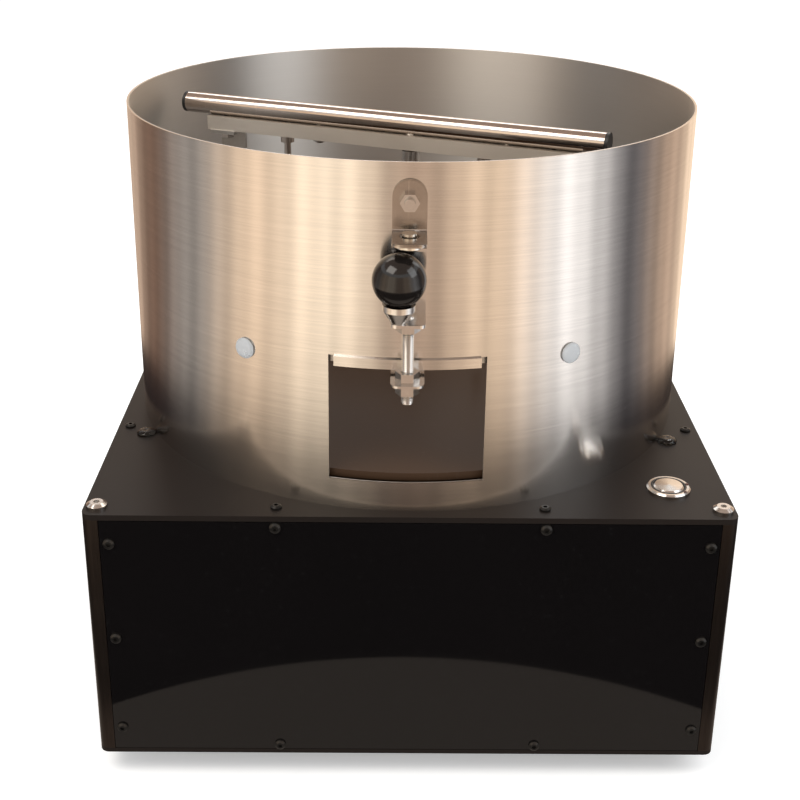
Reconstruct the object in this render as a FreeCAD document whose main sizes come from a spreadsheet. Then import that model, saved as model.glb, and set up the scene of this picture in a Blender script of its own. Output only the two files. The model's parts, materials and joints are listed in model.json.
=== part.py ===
import FreeCAD, Part
import math
import os
import Sketcher

# Home coffee bean roaster: a square base box carries an open stainless drum.
# Inside the drum a stirrer turns over a dark roasting pan, and a gate slides up and down over the outlet.
# X points right, Y away from the front, Z up. Heights called levels are counted from the deck's top face.

# Driving sizes in millimetres and degrees
SIZES = {
    "base_width": 325.0,
    "base_tall": 142.0,
    "deck_thick": 3.0,
    "floor_thick": 2.5,
    "panel_thick": 3.0,
    "panel_gap": 0.3,
    "post_side": 18.0,
    "post_face": 8.3,
    "post_round": 5.0,
    "corner_inset": 6.5,
    "edge_inset": 9.0,
    "corner_bore": 5.1,
    "screw_bore": 3.1,
    "front_screw_edge": 95.5,
    "side_screw_edge": 101.5,
    "foot_tall": 14.0,
    "foot_dia": 20.0,
    "foot_inset": 36.0,
    "drum_margin": 6.5,
    "drum_tall": 177.0,
    "wall_thick": 1.2,
    "drum_turn": -1.0,
    "outlet_wide": 76.0,
    "outlet_sill": 15.5,
    "outlet_top": 81.5,
    "hem_tall": 5.0,
    "hem_out": 1.5,
    "pan_top": 19.0,
    "pan_thick": 4.0,
    "pan_gap": 2.6,
    "gate_travel": 57.5,
    "gate_tall": 66.0,
    "gate_wide": 88.0,
    "strap_thick": 1.5,
    "strap_wide": 18.0,
    "rod_dia": 6.0,
    "rod_out": 10.0,
    "knob_dia": 25.0,
    "knob_out": 17.5,
    "knob_side": 4.3,
    "knob_level": 127.0,
    "shaft_dia": 10.0,
    "shaft_level": 146.0,
    "bar_wide": 12.0,
    "bar_tall": 8.0,
    "tube_dia": 12.0,
    "tube_wall": 1.2,
    "arm_gap_left": 11.8,
    "arm_gap_right": 42.8,
    "arm_angle": -22.8,
    "paddle_gap": 1.5,
    "switch_bezel": 22.4,
    "switch_barrel": 19.0,
    "switch_cap": 15.6,
    "switch_side": 29.6,
    "switch_front": 31.6,
    "press_travel": 2.0,
    "fan_side": 80.0,
    "fan_thick": 25.0,
    "inlet_wide": 27.0,
    "inlet_tall": 20.0,
    "motor_dia": 42.0,
    "spacer_tall": 32.0,
    "running_gap": 0.05,
}

UP = FreeCAD.Vector(0, 0, 1)
FRONT = FreeCAD.Vector(0, -1, 0)
BACK = FreeCAD.Vector(0, 1, 0)

doc = FreeCAD.newDocument("BeanRoaster")
sheet = doc.addObject("Spreadsheet::Sheet", "Sizes")
for row, (alias, value) in enumerate(SIZES.items(), 1):
    sheet.set(f"A{row}", alias)
    sheet.set(f"B{row}", str(value))
    sheet.setAlias(f"B{row}", alias)
doc.recompute()

nodes = []


def size(alias):
    return float(sheet.get(alias))


# Values worked out from the driving sizes
half = size("base_width") / 2
deck = size("foot_tall") + size("base_tall")
deck_under = deck - size("deck_thick")
floor_top = size("foot_tall") + size("floor_thick")
drum_radius = half - size("drum_margin")
front_pitch = half - size("front_screw_edge")
side_pitch = half - size("side_screw_edge")
inner_radius = drum_radius - size("wall_thick")
arm_left = inner_radius - size("arm_gap_left")
arm_right = inner_radius - size("arm_gap_right")
rod_y = -(drum_radius + size("rod_out"))
knob_y = -(drum_radius + size("knob_out"))
GUARD_WIRE = 1.6
GUARD_DEPTH = 4.5
EYE_TALL = 2.0
turned = math.radians(size("drum_turn"))
front_reach = size("knob_side") * math.sin(turned) - knob_y * math.cos(turned) + size("knob_dia") / 2
axis_shift = (front_reach - half - GUARD_DEPTH) / 2


def vec(x, y, z):
    return FreeCAD.Vector(x, y, z)


def keep(item, label, turn=0.0):
    """Name a sub-part and set it on the drum's axis, turned about it by some degrees."""
    item.Label = label
    item.Placement = FreeCAD.Placement(vec(0, axis_shift, 0), FreeCAD.Rotation(UP, turn))
    nodes.append(item)
    return item


def solid(label, shapes, turn=0.0):
    """Keep ready shapes as one sub-part, joined where they meet."""
    item = doc.addObject("Part::Feature", label)
    item.Shape = shapes[0] if len(shapes) == 1 else Part.makeCompound(shapes)
    return keep(item, label, turn)


# Sketch helpers: every point and length is bound to the sheet by an expression

def plane_of(body, role):
    return next(face for face in body.Origin.OriginFeatures if face.Role == role)


def sketch_on(body, name, role, offset="0"):
    made = body.newObject("Sketcher::SketchObject", name)
    made.AttachmentSupport = [(plane_of(body, role), "")]
    made.MapMode = "FlatFace"
    made.setExpression(".AttachmentOffset.Base.z", offset)
    return made


def number(item, expression):
    value = item.evalExpression(expression)
    return float(getattr(value, "Value", value))


def bind(sketch, kind, geometry, point, expression):
    value = number(sketch, expression)
    index = sketch.addConstraint(Sketcher.Constraint(kind, -1, 1, geometry, point, value))
    sketch.setExpression(f"Constraints[{index}]", expression)


def polygon(sketch, points):
    corners = [vec(number(sketch, x), number(sketch, y), 0) for x, y in points]
    first = sketch.GeometryCount
    count = len(points)
    for index in range(count):
        line = Part.LineSegment(corners[index], corners[(index + 1) % count])
        sketch.addGeometry(line, False)
    for index in range(count):
        joined = Sketcher.Constraint("Coincident", first + index, 2, first + (index + 1) % count, 1)
        sketch.addConstraint(joined)
    for index, (x, y) in enumerate(points):
        bind(sketch, "DistanceX", first + index, 1, x)
        bind(sketch, "DistanceY", first + index, 1, y)


def circle(sketch, x, y, diameter):
    centre = vec(number(sketch, x), number(sketch, y), 0)
    ring = Part.Circle(centre, UP, number(sketch, diameter) / 2)
    index = sketch.addGeometry(ring, False)
    bind(sketch, "DistanceX", index, 3, x)
    bind(sketch, "DistanceY", index, 3, y)
    limit = sketch.addConstraint(Sketcher.Constraint("Diameter", index, number(sketch, diameter)))
    sketch.setExpression(f"Constraints[{limit}]", diameter)


def rectangle(sketch, x, y, wide, tall):
    left, right = f"{x} - ({wide}) / 2", f"{x} + ({wide}) / 2"
    low, high = f"{y} - ({tall}) / 2", f"{y} + ({tall}) / 2"
    polygon(sketch, [(left, low), (right, low), (right, high), (left, high)])


def new_body(name):
    return doc.addObject("PartDesign::Body", name)


def pad(body, sketch, length, midplane=False, reverse=False):
    made = body.newObject("PartDesign::Pad", sketch.Name + "_pad")
    made.Profile = sketch
    made.Midplane = midplane
    made.Reversed = reverse
    made.setExpression("Length", length)
    sketch.Visibility = False
    doc.recompute()
    return made


def cut_through(body, sketch):
    before = body.Shape.Volume
    made = body.newObject("PartDesign::Pocket", sketch.Name + "_pocket")
    made.Profile = sketch
    made.Type = "ThroughAll"
    made.Midplane = True
    doc.recompute()
    if body.Shape.Volume >= before:
        raise RuntimeError(f"{sketch.Name} removes nothing")
    return made


def revolve(body, sketch, angle=360.0, midplane=False):
    made = body.newObject("PartDesign::Revolution", sketch.Name + "_turned")
    made.Profile = sketch
    made.ReferenceAxis = (sketch, ["V_Axis"])
    made.Angle = angle
    made.Midplane = midplane
    doc.recompute()
    return made


def round_edges(body, radius, chosen):
    """Round the edges for which the test is true at the edge's middle."""
    base = body.Tip
    names = []
    for index, edge in enumerate(base.Shape.Edges, 1):
        if chosen(edge):
            names.append(f"Edge{index}")
    made = body.newObject("PartDesign::Fillet", body.Name + "_round" + str(len(body.Group)))
    made.Base = (base, names)
    made.Radius = radius
    doc.recompute()
    return made


def upright(edge):
    direction = edge.Vertexes[-1].Point - edge.Vertexes[0].Point
    return len(edge.Vertexes) == 2 and abs(direction.x) + abs(direction.y) < 0.01


# Shape helpers for fasteners and other small turned pieces

def cylinder(radius, length, base, direction=UP):
    return Part.makeCylinder(radius, length, base, direction)


def tube(outer, inner, length, base, direction=UP):
    return cylinder(outer, length, base, direction).cut(cylinder(inner, length, base, direction))


def block(x0, y0, z0, x1, y1, z1):
    return Part.makeBox(x1 - x0, y1 - y0, z1 - z0, vec(x0, y0, z0))


def ring_piece(inner, outer, low, high, middle, spread):
    """A piece of an upright ring, spread evenly about a direction counted from the front."""
    start = middle - spread / 2
    corners = [polar(inner, start, low), polar(outer, start, low), polar(outer, start, high),
               polar(inner, start, high), polar(inner, start, low)]
    return Part.Face(Part.makePolygon(corners)).revolve(vec(0, 0, 0), UP, spread)


def button_screw(head, head_tall, shank, length, seat, direction, socket=0.0):
    """A round-headed screw: seat is the point under its head, direction the way the shank points."""
    out = direction * -1
    top = seat + out * head_tall
    dome = cylinder(head / 2, head_tall * 0.55, seat, out)
    crown = Part.makeCone(head / 2, head * 0.32, head_tall * 0.45, seat + out * (head_tall * 0.55), out)
    made = dome.fuse(crown).fuse(cylinder(shank / 2, length, seat, direction))
    if socket:
        made = made.cut(hexagon(socket, head_tall * 0.6, top - out * (head_tall * 0.6), out))
    return made.removeSplitter()


def hexagon(across, thick, base, direction=UP):
    radius = across / math.sqrt(3)
    points = [vec(radius * math.cos(math.radians(60 * k)), radius * math.sin(math.radians(60 * k)), 0)
              for k in range(7)]
    prism = Part.Face(Part.makePolygon(points)).extrude(UP * thick)
    prism.Placement = FreeCAD.Placement(base, FreeCAD.Rotation(UP, direction))
    return prism


def nut(across, thick, bore, base, direction=UP):
    return hexagon(across, thick, base, direction).cut(cylinder(bore / 2, thick, base, direction))


def polar(radius, angle, z):
    """A point at a radius from the drum's axis, with the angle counted from the front."""
    turn = math.radians(angle - 90)
    return vec(radius * math.cos(turn), radius * math.sin(turn), z)


# Base box: floor, deck, posts, panels and what fastens them

CORNERS = [(-1, -1), (1, -1), (1, 1), (-1, 1)]
HALF = "Sizes.base_width / 2"
DRUM_RADIUS = "(Sizes.base_width / 2 - Sizes.drum_margin)"
DECK = "(Sizes.foot_tall + Sizes.base_tall)"
FLOOR_TOP = "(Sizes.foot_tall + Sizes.floor_thick)"
INSIDE_TALL = "(Sizes.base_tall - Sizes.deck_thick - Sizes.floor_thick)"
SWITCH_X = "(Sizes.base_width / 2 - Sizes.switch_side)"
SWITCH_Y = "(Sizes.switch_front - Sizes.base_width / 2)"
SPACER_SPREAD = 34.0
TAB_ANGLES = (45.0, 135.0, 225.0, 315.0)
TAB_INSET = 7.8
tab_radius = inner_radius - TAB_INSET
TAB_SCREW = 4.0
FOOT_SCREW = 4.0
BUSH_RADIUS = 9.0
CORNER_HEAD = 10.4
SMALL_HEAD = 5.7
SMALL_SHANK = 3.0
SIDE_SCREW_END = 16.0
side_screw_drops = (SIDE_SCREW_END, size("base_tall") / 2, size("base_tall") - SIDE_SCREW_END)
TOP_SCREW_DROP = 6.3
low_screw_drop = size("base_tall") - 5.6


def sheet_metal(name, label, level, thick, holes):
    """A square plate with rounded corners and round holes."""
    made = new_body(name)
    outline = sketch_on(made, name + "_outline", "XY_Plane", level)
    rectangle(outline, "0", "0", "Sizes.base_width", "Sizes.base_width")
    pad(made, outline, thick)
    round_edges(made, size("post_round"), upright)
    drilled = sketch_on(made, name + "_holes", "XY_Plane", level)
    for x, y, diameter in holes:
        circle(drilled, x, y, diameter)
    cut_through(made, drilled)
    return keep(made, label)


def corner_holes():
    for sx, sy in CORNERS:
        yield (f"{sx} * ({HALF} - Sizes.corner_inset)", f"{sy} * ({HALF} - Sizes.edge_inset)",
               "Sizes.corner_bore")


def edge_holes():
    for sx, sy in CORNERS:
        yield f"{sx} * ({HALF} - Sizes.front_screw_edge)", f"{sy} * ({HALF} - Sizes.edge_inset)", "Sizes.screw_bore"
        yield f"{sx} * ({HALF} - Sizes.corner_inset)", f"{sy} * ({HALF} - Sizes.side_screw_edge)", "Sizes.screw_bore"


def foot_holes():
    for sx, sy in CORNERS:
        yield (f"{sx} * ({HALF} - Sizes.foot_inset)", f"{sy} * ({HALF} - Sizes.foot_inset)",
               str(FOOT_SCREW + 0.1))


def deck_holes():
    yield from corner_holes()
    yield from edge_holes()
    yield SWITCH_X, SWITCH_Y, "Sizes.switch_barrel + 0.2"
    yield "0", "0", str(2 * BUSH_RADIUS + 8)
    for sx, sy in CORNERS:
        yield str(sx * SPACER_SPREAD), str(sy * SPACER_SPREAD), str(TAB_SCREW + 0.1)
    for angle in TAB_ANGLES:
        point = polar(tab_radius, angle + size("drum_turn"), 0)
        yield str(round(point.x, 4)), str(round(point.y, 4)), str(TAB_SCREW + 0.1)


sheet_metal("FloorPlate", "base_floor", "Sizes.foot_tall", "Sizes.floor_thick",
            [*corner_holes(), *edge_holes(), *foot_holes()])
sheet_metal("DeckPlate", "base_deck", f"{DECK} - Sizes.deck_thick", "Sizes.deck_thick", deck_holes())


def corner_post(name, label, sx, sy):
    """An upright post with a rebate on each inner side for the panels."""
    side, face, step = "Sizes.post_side", "Sizes.post_face", "Sizes.panel_thick"
    steps = [("0", "0"), (face, "0"), (face, step), (side, step), (side, side), (step, side),
             (step, face), ("0", face)]
    made = new_body(name)
    outline = sketch_on(made, name + "_outline", "XY_Plane", FLOOR_TOP)
    polygon(outline, [(f"{sx} * ({HALF} - {x})", f"{sy} * ({HALF} - {y})") for x, y in steps])
    pad(made, outline, INSIDE_TALL)
    round_edges(made, size("post_round"), lambda edge: upright(edge)
                and abs(abs(edge.CenterOfMass.x) - half) < 0.01 and abs(abs(edge.CenterOfMass.y) - half) < 0.01)
    drilled = sketch_on(made, name + "_bore", "XY_Plane", FLOOR_TOP)
    circle(drilled, f"{sx} * ({HALF} - Sizes.corner_inset)", f"{sy} * ({HALF} - Sizes.edge_inset)",
           "Sizes.corner_bore")
    cut_through(made, drilled)
    return keep(made, label)


for (sx, sy), place in zip(CORNERS, ("front_left", "front_right", "rear_right", "rear_left")):
    corner_post("Post_" + place, "post_" + place, sx, sy)


def panel_screws():
    """Screw places on a panel as its side offset and its height."""
    side = half - 13.1
    places = [(sign * side, deck - drop) for sign in (-1, 1) for drop in side_screw_drops]
    places += [(sign * front_pitch, deck - drop) for sign in (-1, 1)
               for drop in (TOP_SCREW_DROP, low_screw_drop)]
    return places


fan_level = deck - 66.0
fan_x = 102.5 - half
fan_screws_out = size("fan_side") / 2 - 4.25
inlet_x = half - 67.5
inlet_level = deck - 100.0
INLET_EARS = 20.0
SLOT_PITCH = 8.0
SLOTS = 7


def panel(name, label, role, turn, openings=()):
    """A flat panel between two posts, with its screw holes and other openings."""
    made = new_body(name)
    offset = f"{HALF} - Sizes.panel_thick"
    outline = sketch_on(made, name + "_outline", role, offset)
    wide = "Sizes.base_width - 2 * (Sizes.post_face + Sizes.panel_gap)"
    tall = f"{INSIDE_TALL} - 2 * Sizes.panel_gap"
    rectangle(outline, "0", f"({FLOOR_TOP} + {INSIDE_TALL} / 2)", wide, tall)
    pad(made, outline, "Sizes.panel_thick")
    drilled = sketch_on(made, name + "_holes", role, offset)
    for x, z in panel_screws():
        circle(drilled, str(round(x, 4)), str(round(z, 4)), "Sizes.screw_bore")
    for kind, x, z, wide, tall in openings:
        if kind == "round":
            circle(drilled, str(x), str(z), wide)
        else:
            rectangle(drilled, str(x), str(z), wide, tall)
    cut_through(made, drilled)
    return keep(made, label, turn)


rear_openings = [("round", -fan_x, fan_level, "Sizes.fan_side - 4", "0")]
for sx, sz in CORNERS:
    rear_openings.append(("round", -fan_x + sx * fan_screws_out, fan_level + sz * fan_screws_out, "3.4", "0"))
rear_openings.append(("square", -inlet_x, inlet_level, "Sizes.inlet_wide + 0.4", "Sizes.inlet_tall + 0.4"))
for sign in (-1, 1):
    rear_openings.append(("round", -inlet_x + sign * INLET_EARS, inlet_level, "3.4", "0"))
for index in range(SLOTS):
    slot_x = -inlet_x + (index - (SLOTS - 1) / 2) * SLOT_PITCH
    rear_openings.append(("square", slot_x, deck - 48.0, "3", "30"))

panel("FrontPanel", "front_panel", "XZ_Plane", 0)
panel("RearPanel", "rear_panel", "XZ_Plane", 180, rear_openings)
panel("LeftPanel", "left_panel", "XZ_Plane", -90)
panel("RightPanel", "right_panel", "XZ_Plane", 90)

# Joining blocks in the box's edges, two to each edge
BLOCK_WIDE = 22.0
BLOCK_DEEP = 12.0
BLOCK_TALL = 10.0
SCREW_REACH = 4.2
blocks = []
for index, turn in enumerate((0, 90, 180, 270)):
    back = -(half - size("panel_thick"))
    facing = index % 2 == 0
    deck_screw_x = front_pitch if facing else side_pitch
    deck_screw_y = -(half - (size("edge_inset") if facing else size("corner_inset")))
    for sign in (-1, 1):
        middle = sign * (front_pitch + side_pitch) / 2
        for low, screw_z in ((deck_under - BLOCK_TALL, deck - TOP_SCREW_DROP),
                             (floor_top, deck - low_screw_drop)):
            made = block(middle - BLOCK_WIDE / 2, back, low, middle + BLOCK_WIDE / 2, back + BLOCK_DEEP,
                         low + BLOCK_TALL)
            flat_hole = cylinder(size("screw_bore") / 2, SCREW_REACH,
                                 vec(sign * front_pitch, back, screw_z), BACK)
            deep_hole = cylinder(size("screw_bore") / 2, BLOCK_TALL,
                                 vec(sign * deck_screw_x, deck_screw_y, low))
            made = made.cut(flat_hole).cut(deep_hole)
            made.rotate(vec(0, 0, 0), UP, turn)
            blocks.append(made)
solid("joining_blocks", blocks)


def panel_screw_set(label, turns, socket):
    shank = size("panel_thick") + SCREW_REACH - 0.4
    made = []
    for turn in turns:
        for x, z in panel_screws():
            screw = button_screw(SMALL_HEAD, 1.65, SMALL_SHANK, shank, vec(x, -half, z), BACK, socket)
            screw.rotate(vec(0, 0, 0), UP, turn)
            made.append(screw)
    solid(label, made)


# The posts take the panels' outer screws in blind bores
POST_SCREW_DEPTH = SCREW_REACH
for item in [node for node in nodes if node.Label.startswith("post_")]:
    sx = -1 if "left" in item.Label else 1
    sy = -1 if "front" in item.Label else 1
    bores = sketch_on(item, item.Name + "_front_bores", "XZ_Plane",
                      f"{-sy} * ({HALF} - Sizes.panel_thick)")
    side_bores = sketch_on(item, item.Name + "_side_bores", "YZ_Plane",
                           f"{sx} * ({HALF} - Sizes.panel_thick)")
    for drop in side_screw_drops:
        circle(bores, str(sx * (half - 13.1)), str(deck - drop), "Sizes.screw_bore")
        circle(side_bores, str(sy * (half - 13.1)), str(deck - drop), "Sizes.screw_bore")
    for sketch, inward in ((bores, sy > 0), (side_bores, sx < 0)):
        before = item.Shape.Volume
        cut = item.newObject("PartDesign::Pocket", sketch.Name + "_pocket")
        cut.Profile = sketch
        cut.Length = POST_SCREW_DEPTH
        cut.Reversed = inward
        doc.recompute()
        if item.Shape.Volume >= before:
            cut.Reversed = not inward
            doc.recompute()
        if item.Shape.Volume >= before:
            raise RuntimeError(f"{sketch.Name} removes nothing")

panel_screw_set("front_screws", (0,), 2.0)
panel_screw_set("side_and_rear_screws", (-90, 90, 180), 0.0)

corner_top, corner_low, edge_top, edge_low = [], [], [], []
for sx, sy in CORNERS:
    corner = vec(sx * (half - size("corner_inset")), sy * (half - size("edge_inset")), 0)
    corner_top.append(button_screw(CORNER_HEAD, 2.7, 5.0, 14.0, corner + UP * deck, UP * -1, 3.0))
    corner_low.append(button_screw(CORNER_HEAD, 2.7, 5.0, 14.0, corner + UP * size("foot_tall"), UP))
    for x, y in ((sx * front_pitch, sy * (half - size("edge_inset"))),
                 (sx * (half - size("corner_inset")), sy * side_pitch)):
        edge_top.append(button_screw(SMALL_HEAD, 1.65, SMALL_SHANK, 9.0, vec(x, y, deck), UP * -1, 2.0))
        edge_low.append(button_screw(SMALL_HEAD, 1.65, SMALL_SHANK, 9.0, vec(x, y, size("foot_tall")), UP))
solid("corner_screws", corner_top)
solid("deck_screws", edge_top)

# Feet with their screws
feet, foot_screws = [], []
for sx, sy in CORNERS:
    spot = vec(sx * (half - size("foot_inset")), sy * (half - size("foot_inset")), 0)
    radius = size("foot_dia") / 2
    cone = Part.makeCone(radius * 0.85, radius, size("foot_tall"), spot, UP)
    recess = cylinder(4.2, 5.0, spot)
    bore = cylinder(FOOT_SCREW / 2 + size("running_gap"), size("foot_tall"), spot)
    feet.append(cone.cut(recess).cut(bore))
    seat = spot + UP * 5.0
    shank = floor_top - 5.0 + 4.0
    foot_screws.append(button_screw(7.0, 2.4, FOOT_SCREW, shank, seat, UP))
    foot_screws.append(nut(7.0, 3.0, FOOT_SCREW + 0.1, spot + UP * floor_top))
solid("feet", feet)
solid("floor_screws", corner_low + edge_low + foot_screws)

# Push-button switch on the deck: bezel with its barrel, sprung cap, nut and two lamps
switch_x = half - size("switch_side")
switch_y = size("switch_front") - half
BEZEL_TALL = 2.0
BARREL_DEPTH = 22.0
CAP_GAP = 0.6
bezel = new_body("SwitchBody")
bezel_profile = sketch_on(bezel, "SwitchBody_profile", "XZ_Plane")
cap_bore = f"(Sizes.switch_cap / 2 + {CAP_GAP})"
polygon(bezel_profile, [
    (cap_bore, f"{BEZEL_TALL}"), ("Sizes.switch_bezel / 2 - 0.8", f"{BEZEL_TALL}"),
    ("Sizes.switch_bezel / 2", f"{BEZEL_TALL - 0.8}"), ("Sizes.switch_bezel / 2", "0"),
    ("Sizes.switch_barrel / 2", "0"), ("Sizes.switch_barrel / 2", f"{-BARREL_DEPTH}"),
    ("0", f"{-BARREL_DEPTH}"), ("0", "-12"), (cap_bore, "-12")])
revolve(bezel, bezel_profile)
keep(bezel, "switch_body")
cap = new_body("SwitchCap")
cap_profile = sketch_on(cap, "SwitchCap_profile", "XZ_Plane")
polygon(cap_profile, [
    ("0", "2.9"), ("Sizes.switch_cap / 2 - 0.8", "2.6"), ("Sizes.switch_cap / 2", "1.9"),
    ("Sizes.switch_cap / 2", "-8"), ("0", "-8")])
revolve(cap, cap_profile)
keep(cap, "switch_cap")
for item in (bezel, cap):
    item.Placement.Base = vec(switch_x, switch_y + axis_shift, deck)
lamps = []
for angle in (81.0, 133.0):
    reach = vec(math.sin(math.radians(angle)), math.cos(math.radians(angle)), 0) * 9.8
    spot = vec(switch_x, switch_y, deck + BEZEL_TALL) + reach
    lamps.append(block(spot.x - 0.7, spot.y - 0.7, spot.z, spot.x + 0.7, spot.y + 0.7, spot.z + 0.35))
solid("switch_lamps", lamps)
SWITCH_NUT_TALL = 3.0
switch_nut_spot = vec(switch_x, switch_y, deck_under - SWITCH_NUT_TALL)
switch_nut = nut(24.0, SWITCH_NUT_TALL, size("switch_barrel") + 0.1, switch_nut_spot)

# Drum: rolled wall with its outlet and the hem folded out over it
wall = new_body("DrumWall")
ring = sketch_on(wall, "DrumWall_ring", "XZ_Plane")
outer, inner = DRUM_RADIUS, f"({DRUM_RADIUS} - Sizes.wall_thick)"
rim = f"({DECK} + Sizes.drum_tall)"
polygon(ring, [(inner, DECK), (outer, DECK), (outer, rim), (inner, rim)])
revolve(wall, ring)
opening = sketch_on(wall, "DrumWall_outlet", "XZ_Plane")
outlet_mid = f"({DECK} + (Sizes.outlet_sill + Sizes.outlet_top) / 2)"
rectangle(opening, "0", outlet_mid, "Sizes.outlet_wide", "Sizes.outlet_top - Sizes.outlet_sill")
volume = wall.Shape.Volume
outlet = wall.newObject("PartDesign::Pocket", "DrumWall_opening")
outlet.Profile = opening
outlet.Type = "ThroughAll"
outlet.Reversed = True
doc.recompute()
if wall.Shape.Volume >= volume or wall.Shape.BoundBox.YMin > -drum_radius + 10:
    raise RuntimeError("the outlet is not cut in the front")
HEM_RELIEF = 3.0
hem_spread = 2 * math.degrees(math.asin((size("outlet_wide") / 2 - HEM_RELIEF) / drum_radius))
hem = sketch_on(wall, "DrumWall_hem", "YZ_Plane")
hem_face = f"(0 - {outer} - Sizes.hem_out)"
hem_low = f"({DECK} + Sizes.outlet_top - Sizes.hem_tall)"
hem_high = f"({DECK} + Sizes.outlet_top)"
polygon(hem, [(f"0 - {outer}", hem_low), (hem_face, hem_low), (hem_face, hem_high),
              (f"0 - {inner}", f"{hem_high} + Sizes.wall_thick"), (f"0 - {inner}", hem_high),
              (f"0 - {outer}", hem_high)])
revolve(wall, hem, hem_spread, True)
keep(wall, "drum_wall", size("drum_turn"))

# Roasting pan on its skirt, with the bush for the stirrer's shaft
pan_radius = f"({inner} - Sizes.pan_gap)"
BOSS = 12.0
skirt = inner_radius - 16.8
pan = new_body("Pan")
pan_profile = sketch_on(pan, "Pan_profile", "XZ_Plane")
pan_high = f"({DECK} + Sizes.pan_top)"
pan_low = f"({pan_high} - Sizes.pan_thick)"
polygon(pan_profile, [
    (f"{BUSH_RADIUS}", pan_high), (pan_radius, pan_high), (pan_radius, pan_low), (f"{skirt}", pan_low),
    (f"{skirt}", DECK), (f"{skirt - 3}", DECK), (f"{skirt - 3}", pan_low), (f"{BOSS + 4}", pan_low),
    (f"{BOSS + 4}", f"{pan_low} - 4"), (f"{BUSH_RADIUS}", f"{pan_low} - 4")])
revolve(pan, pan_profile)
keep(pan, "roasting_pan")

bush_bore = size("shaft_dia") / 2 + size("running_gap")
pan_level = deck + size("pan_top")
bush = cylinder(BUSH_RADIUS, 8.0, vec(0, 0, pan_level - 8.0)).fuse(
    Part.makeCone(BUSH_RADIUS + 3.0, BUSH_RADIUS, 4.0, vec(0, 0, pan_level), UP))
bush = bush.cut(cylinder(bush_bore, 30.0, vec(0, 0, pan_level - 10.0)))
solid("shaft_bush", [bush])

# Brackets that hold the drum's wall on the deck, with their screws and nuts
tabs, tab_screws = [], []
for angle in TAB_ANGLES:
    TAB_THICK, TAB_WIDE, TAB_TALL, TAB_LONG = 1.5, 16.0, 10.0, 12.0
    outer_y = -inner_radius
    foot = block(-TAB_WIDE / 2, outer_y - 1, deck, TAB_WIDE / 2, outer_y + TAB_LONG, deck + TAB_THICK)
    leg = block(-TAB_WIDE / 2, outer_y - 1, deck, TAB_WIDE / 2, outer_y + TAB_THICK + 0.3, deck + TAB_TALL)
    made = foot.fuse(leg).common(cylinder(inner_radius, 40.0, vec(0, 0, deck)))
    spot = vec(0, -tab_radius, deck)
    made = made.cut(cylinder(TAB_SCREW / 2 + 0.05, 10.0, spot))
    screw = button_screw(7.0, 2.4, TAB_SCREW, 9.0, spot - UP * size("deck_thick"), UP)
    lock = nut(7.0, 3.0, TAB_SCREW + 0.1, spot + UP * TAB_THICK)
    made.rotate(vec(0, 0, 0), UP, angle)
    for shape in (screw, lock):
        shape.rotate(vec(0, 0, 0), UP, angle + size("drum_turn"))
    tabs.append(made)
    tab_screws += [screw, lock]
solid("drum_brackets", tabs, size("drum_turn"))

# Clear domed bumpers on the wall and on the deck at the wall's foot
BUMPER_RADIUS = 5.3
BUMPER_TALL = 2.6
WALL_BUMPER_LEVEL = 77.3
WALL_BUMPER_ANGLE = 30.7
DECK_BUMPER_ANGLE = 63.3
wall_bumpers, deck_bumpers = [], []
for sign in (-1, 1):
    out = polar(1, sign * WALL_BUMPER_ANGLE, 0)
    root = out * (drum_radius - 2) + UP * (deck + WALL_BUMPER_LEVEL)
    dome = Part.makeCone(BUMPER_RADIUS, BUMPER_RADIUS * 0.72, 1.1, root + out * (BUMPER_TALL + 0.9), out)
    disc = cylinder(BUMPER_RADIUS, BUMPER_TALL + 0.9, root, out).fuse(dome)
    wall_bumpers.append(disc.cut(cylinder(drum_radius, 60.0, vec(0, 0, deck + 40.0))))
    spot = polar(drum_radius + BUMPER_RADIUS + 0.1, sign * DECK_BUMPER_ANGLE, deck)
    low = cylinder(BUMPER_RADIUS, BUMPER_TALL - 1.1, spot)
    top = Part.makeCone(BUMPER_RADIUS, BUMPER_RADIUS * 0.72, 1.1, spot + UP * (BUMPER_TALL - 1.1), UP)
    deck_bumpers.append(low.fuse(top))
solid("wall_bumpers", wall_bumpers, size("drum_turn"))
solid("deck_bumpers", deck_bumpers)

# Outlet gate: a curved plate in two rails, moved by a rod with a ball knob
GATE_BACK = 1.8
GATE_THICK = 1.2
gate_outer = inner_radius - GATE_BACK
gate_inner = gate_outer - GATE_THICK
gate_low = deck + size("pan_top") + 0.5 + size("gate_travel")
gate_spread = 2 * math.degrees(math.asin(size("gate_wide") / 2 / gate_outer))
solid("gate_plate", [ring_piece(gate_inner, gate_outer, gate_low, gate_low + size("gate_tall"), 0, gate_spread)],
      size("drum_turn"))
RAIL_LAP = 4.0
RAIL_WEB = 4.0
rail_inner = gate_inner - 1.5
per_mm = math.degrees(1 / gate_outer)
rail_low = deck + size("pan_top") + 0.5
rail_high = gate_low + size("gate_tall") + 2.0
rails = []
for sign in (-1, 1):
    edge = gate_spread / 2 + 0.3 * per_mm
    web = ring_piece(rail_inner, inner_radius, rail_low, rail_high, sign * (edge + RAIL_WEB * per_mm / 2),
                     RAIL_WEB * per_mm)
    lap = ring_piece(rail_inner, rail_inner + 1.2, rail_low, rail_high,
                     sign * (edge - RAIL_LAP * per_mm / 2), RAIL_LAP * per_mm + 0.02)
    rails.append(web.fuse(lap).removeSplitter())
solid("gate_rails", rails, size("drum_turn"))


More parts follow.
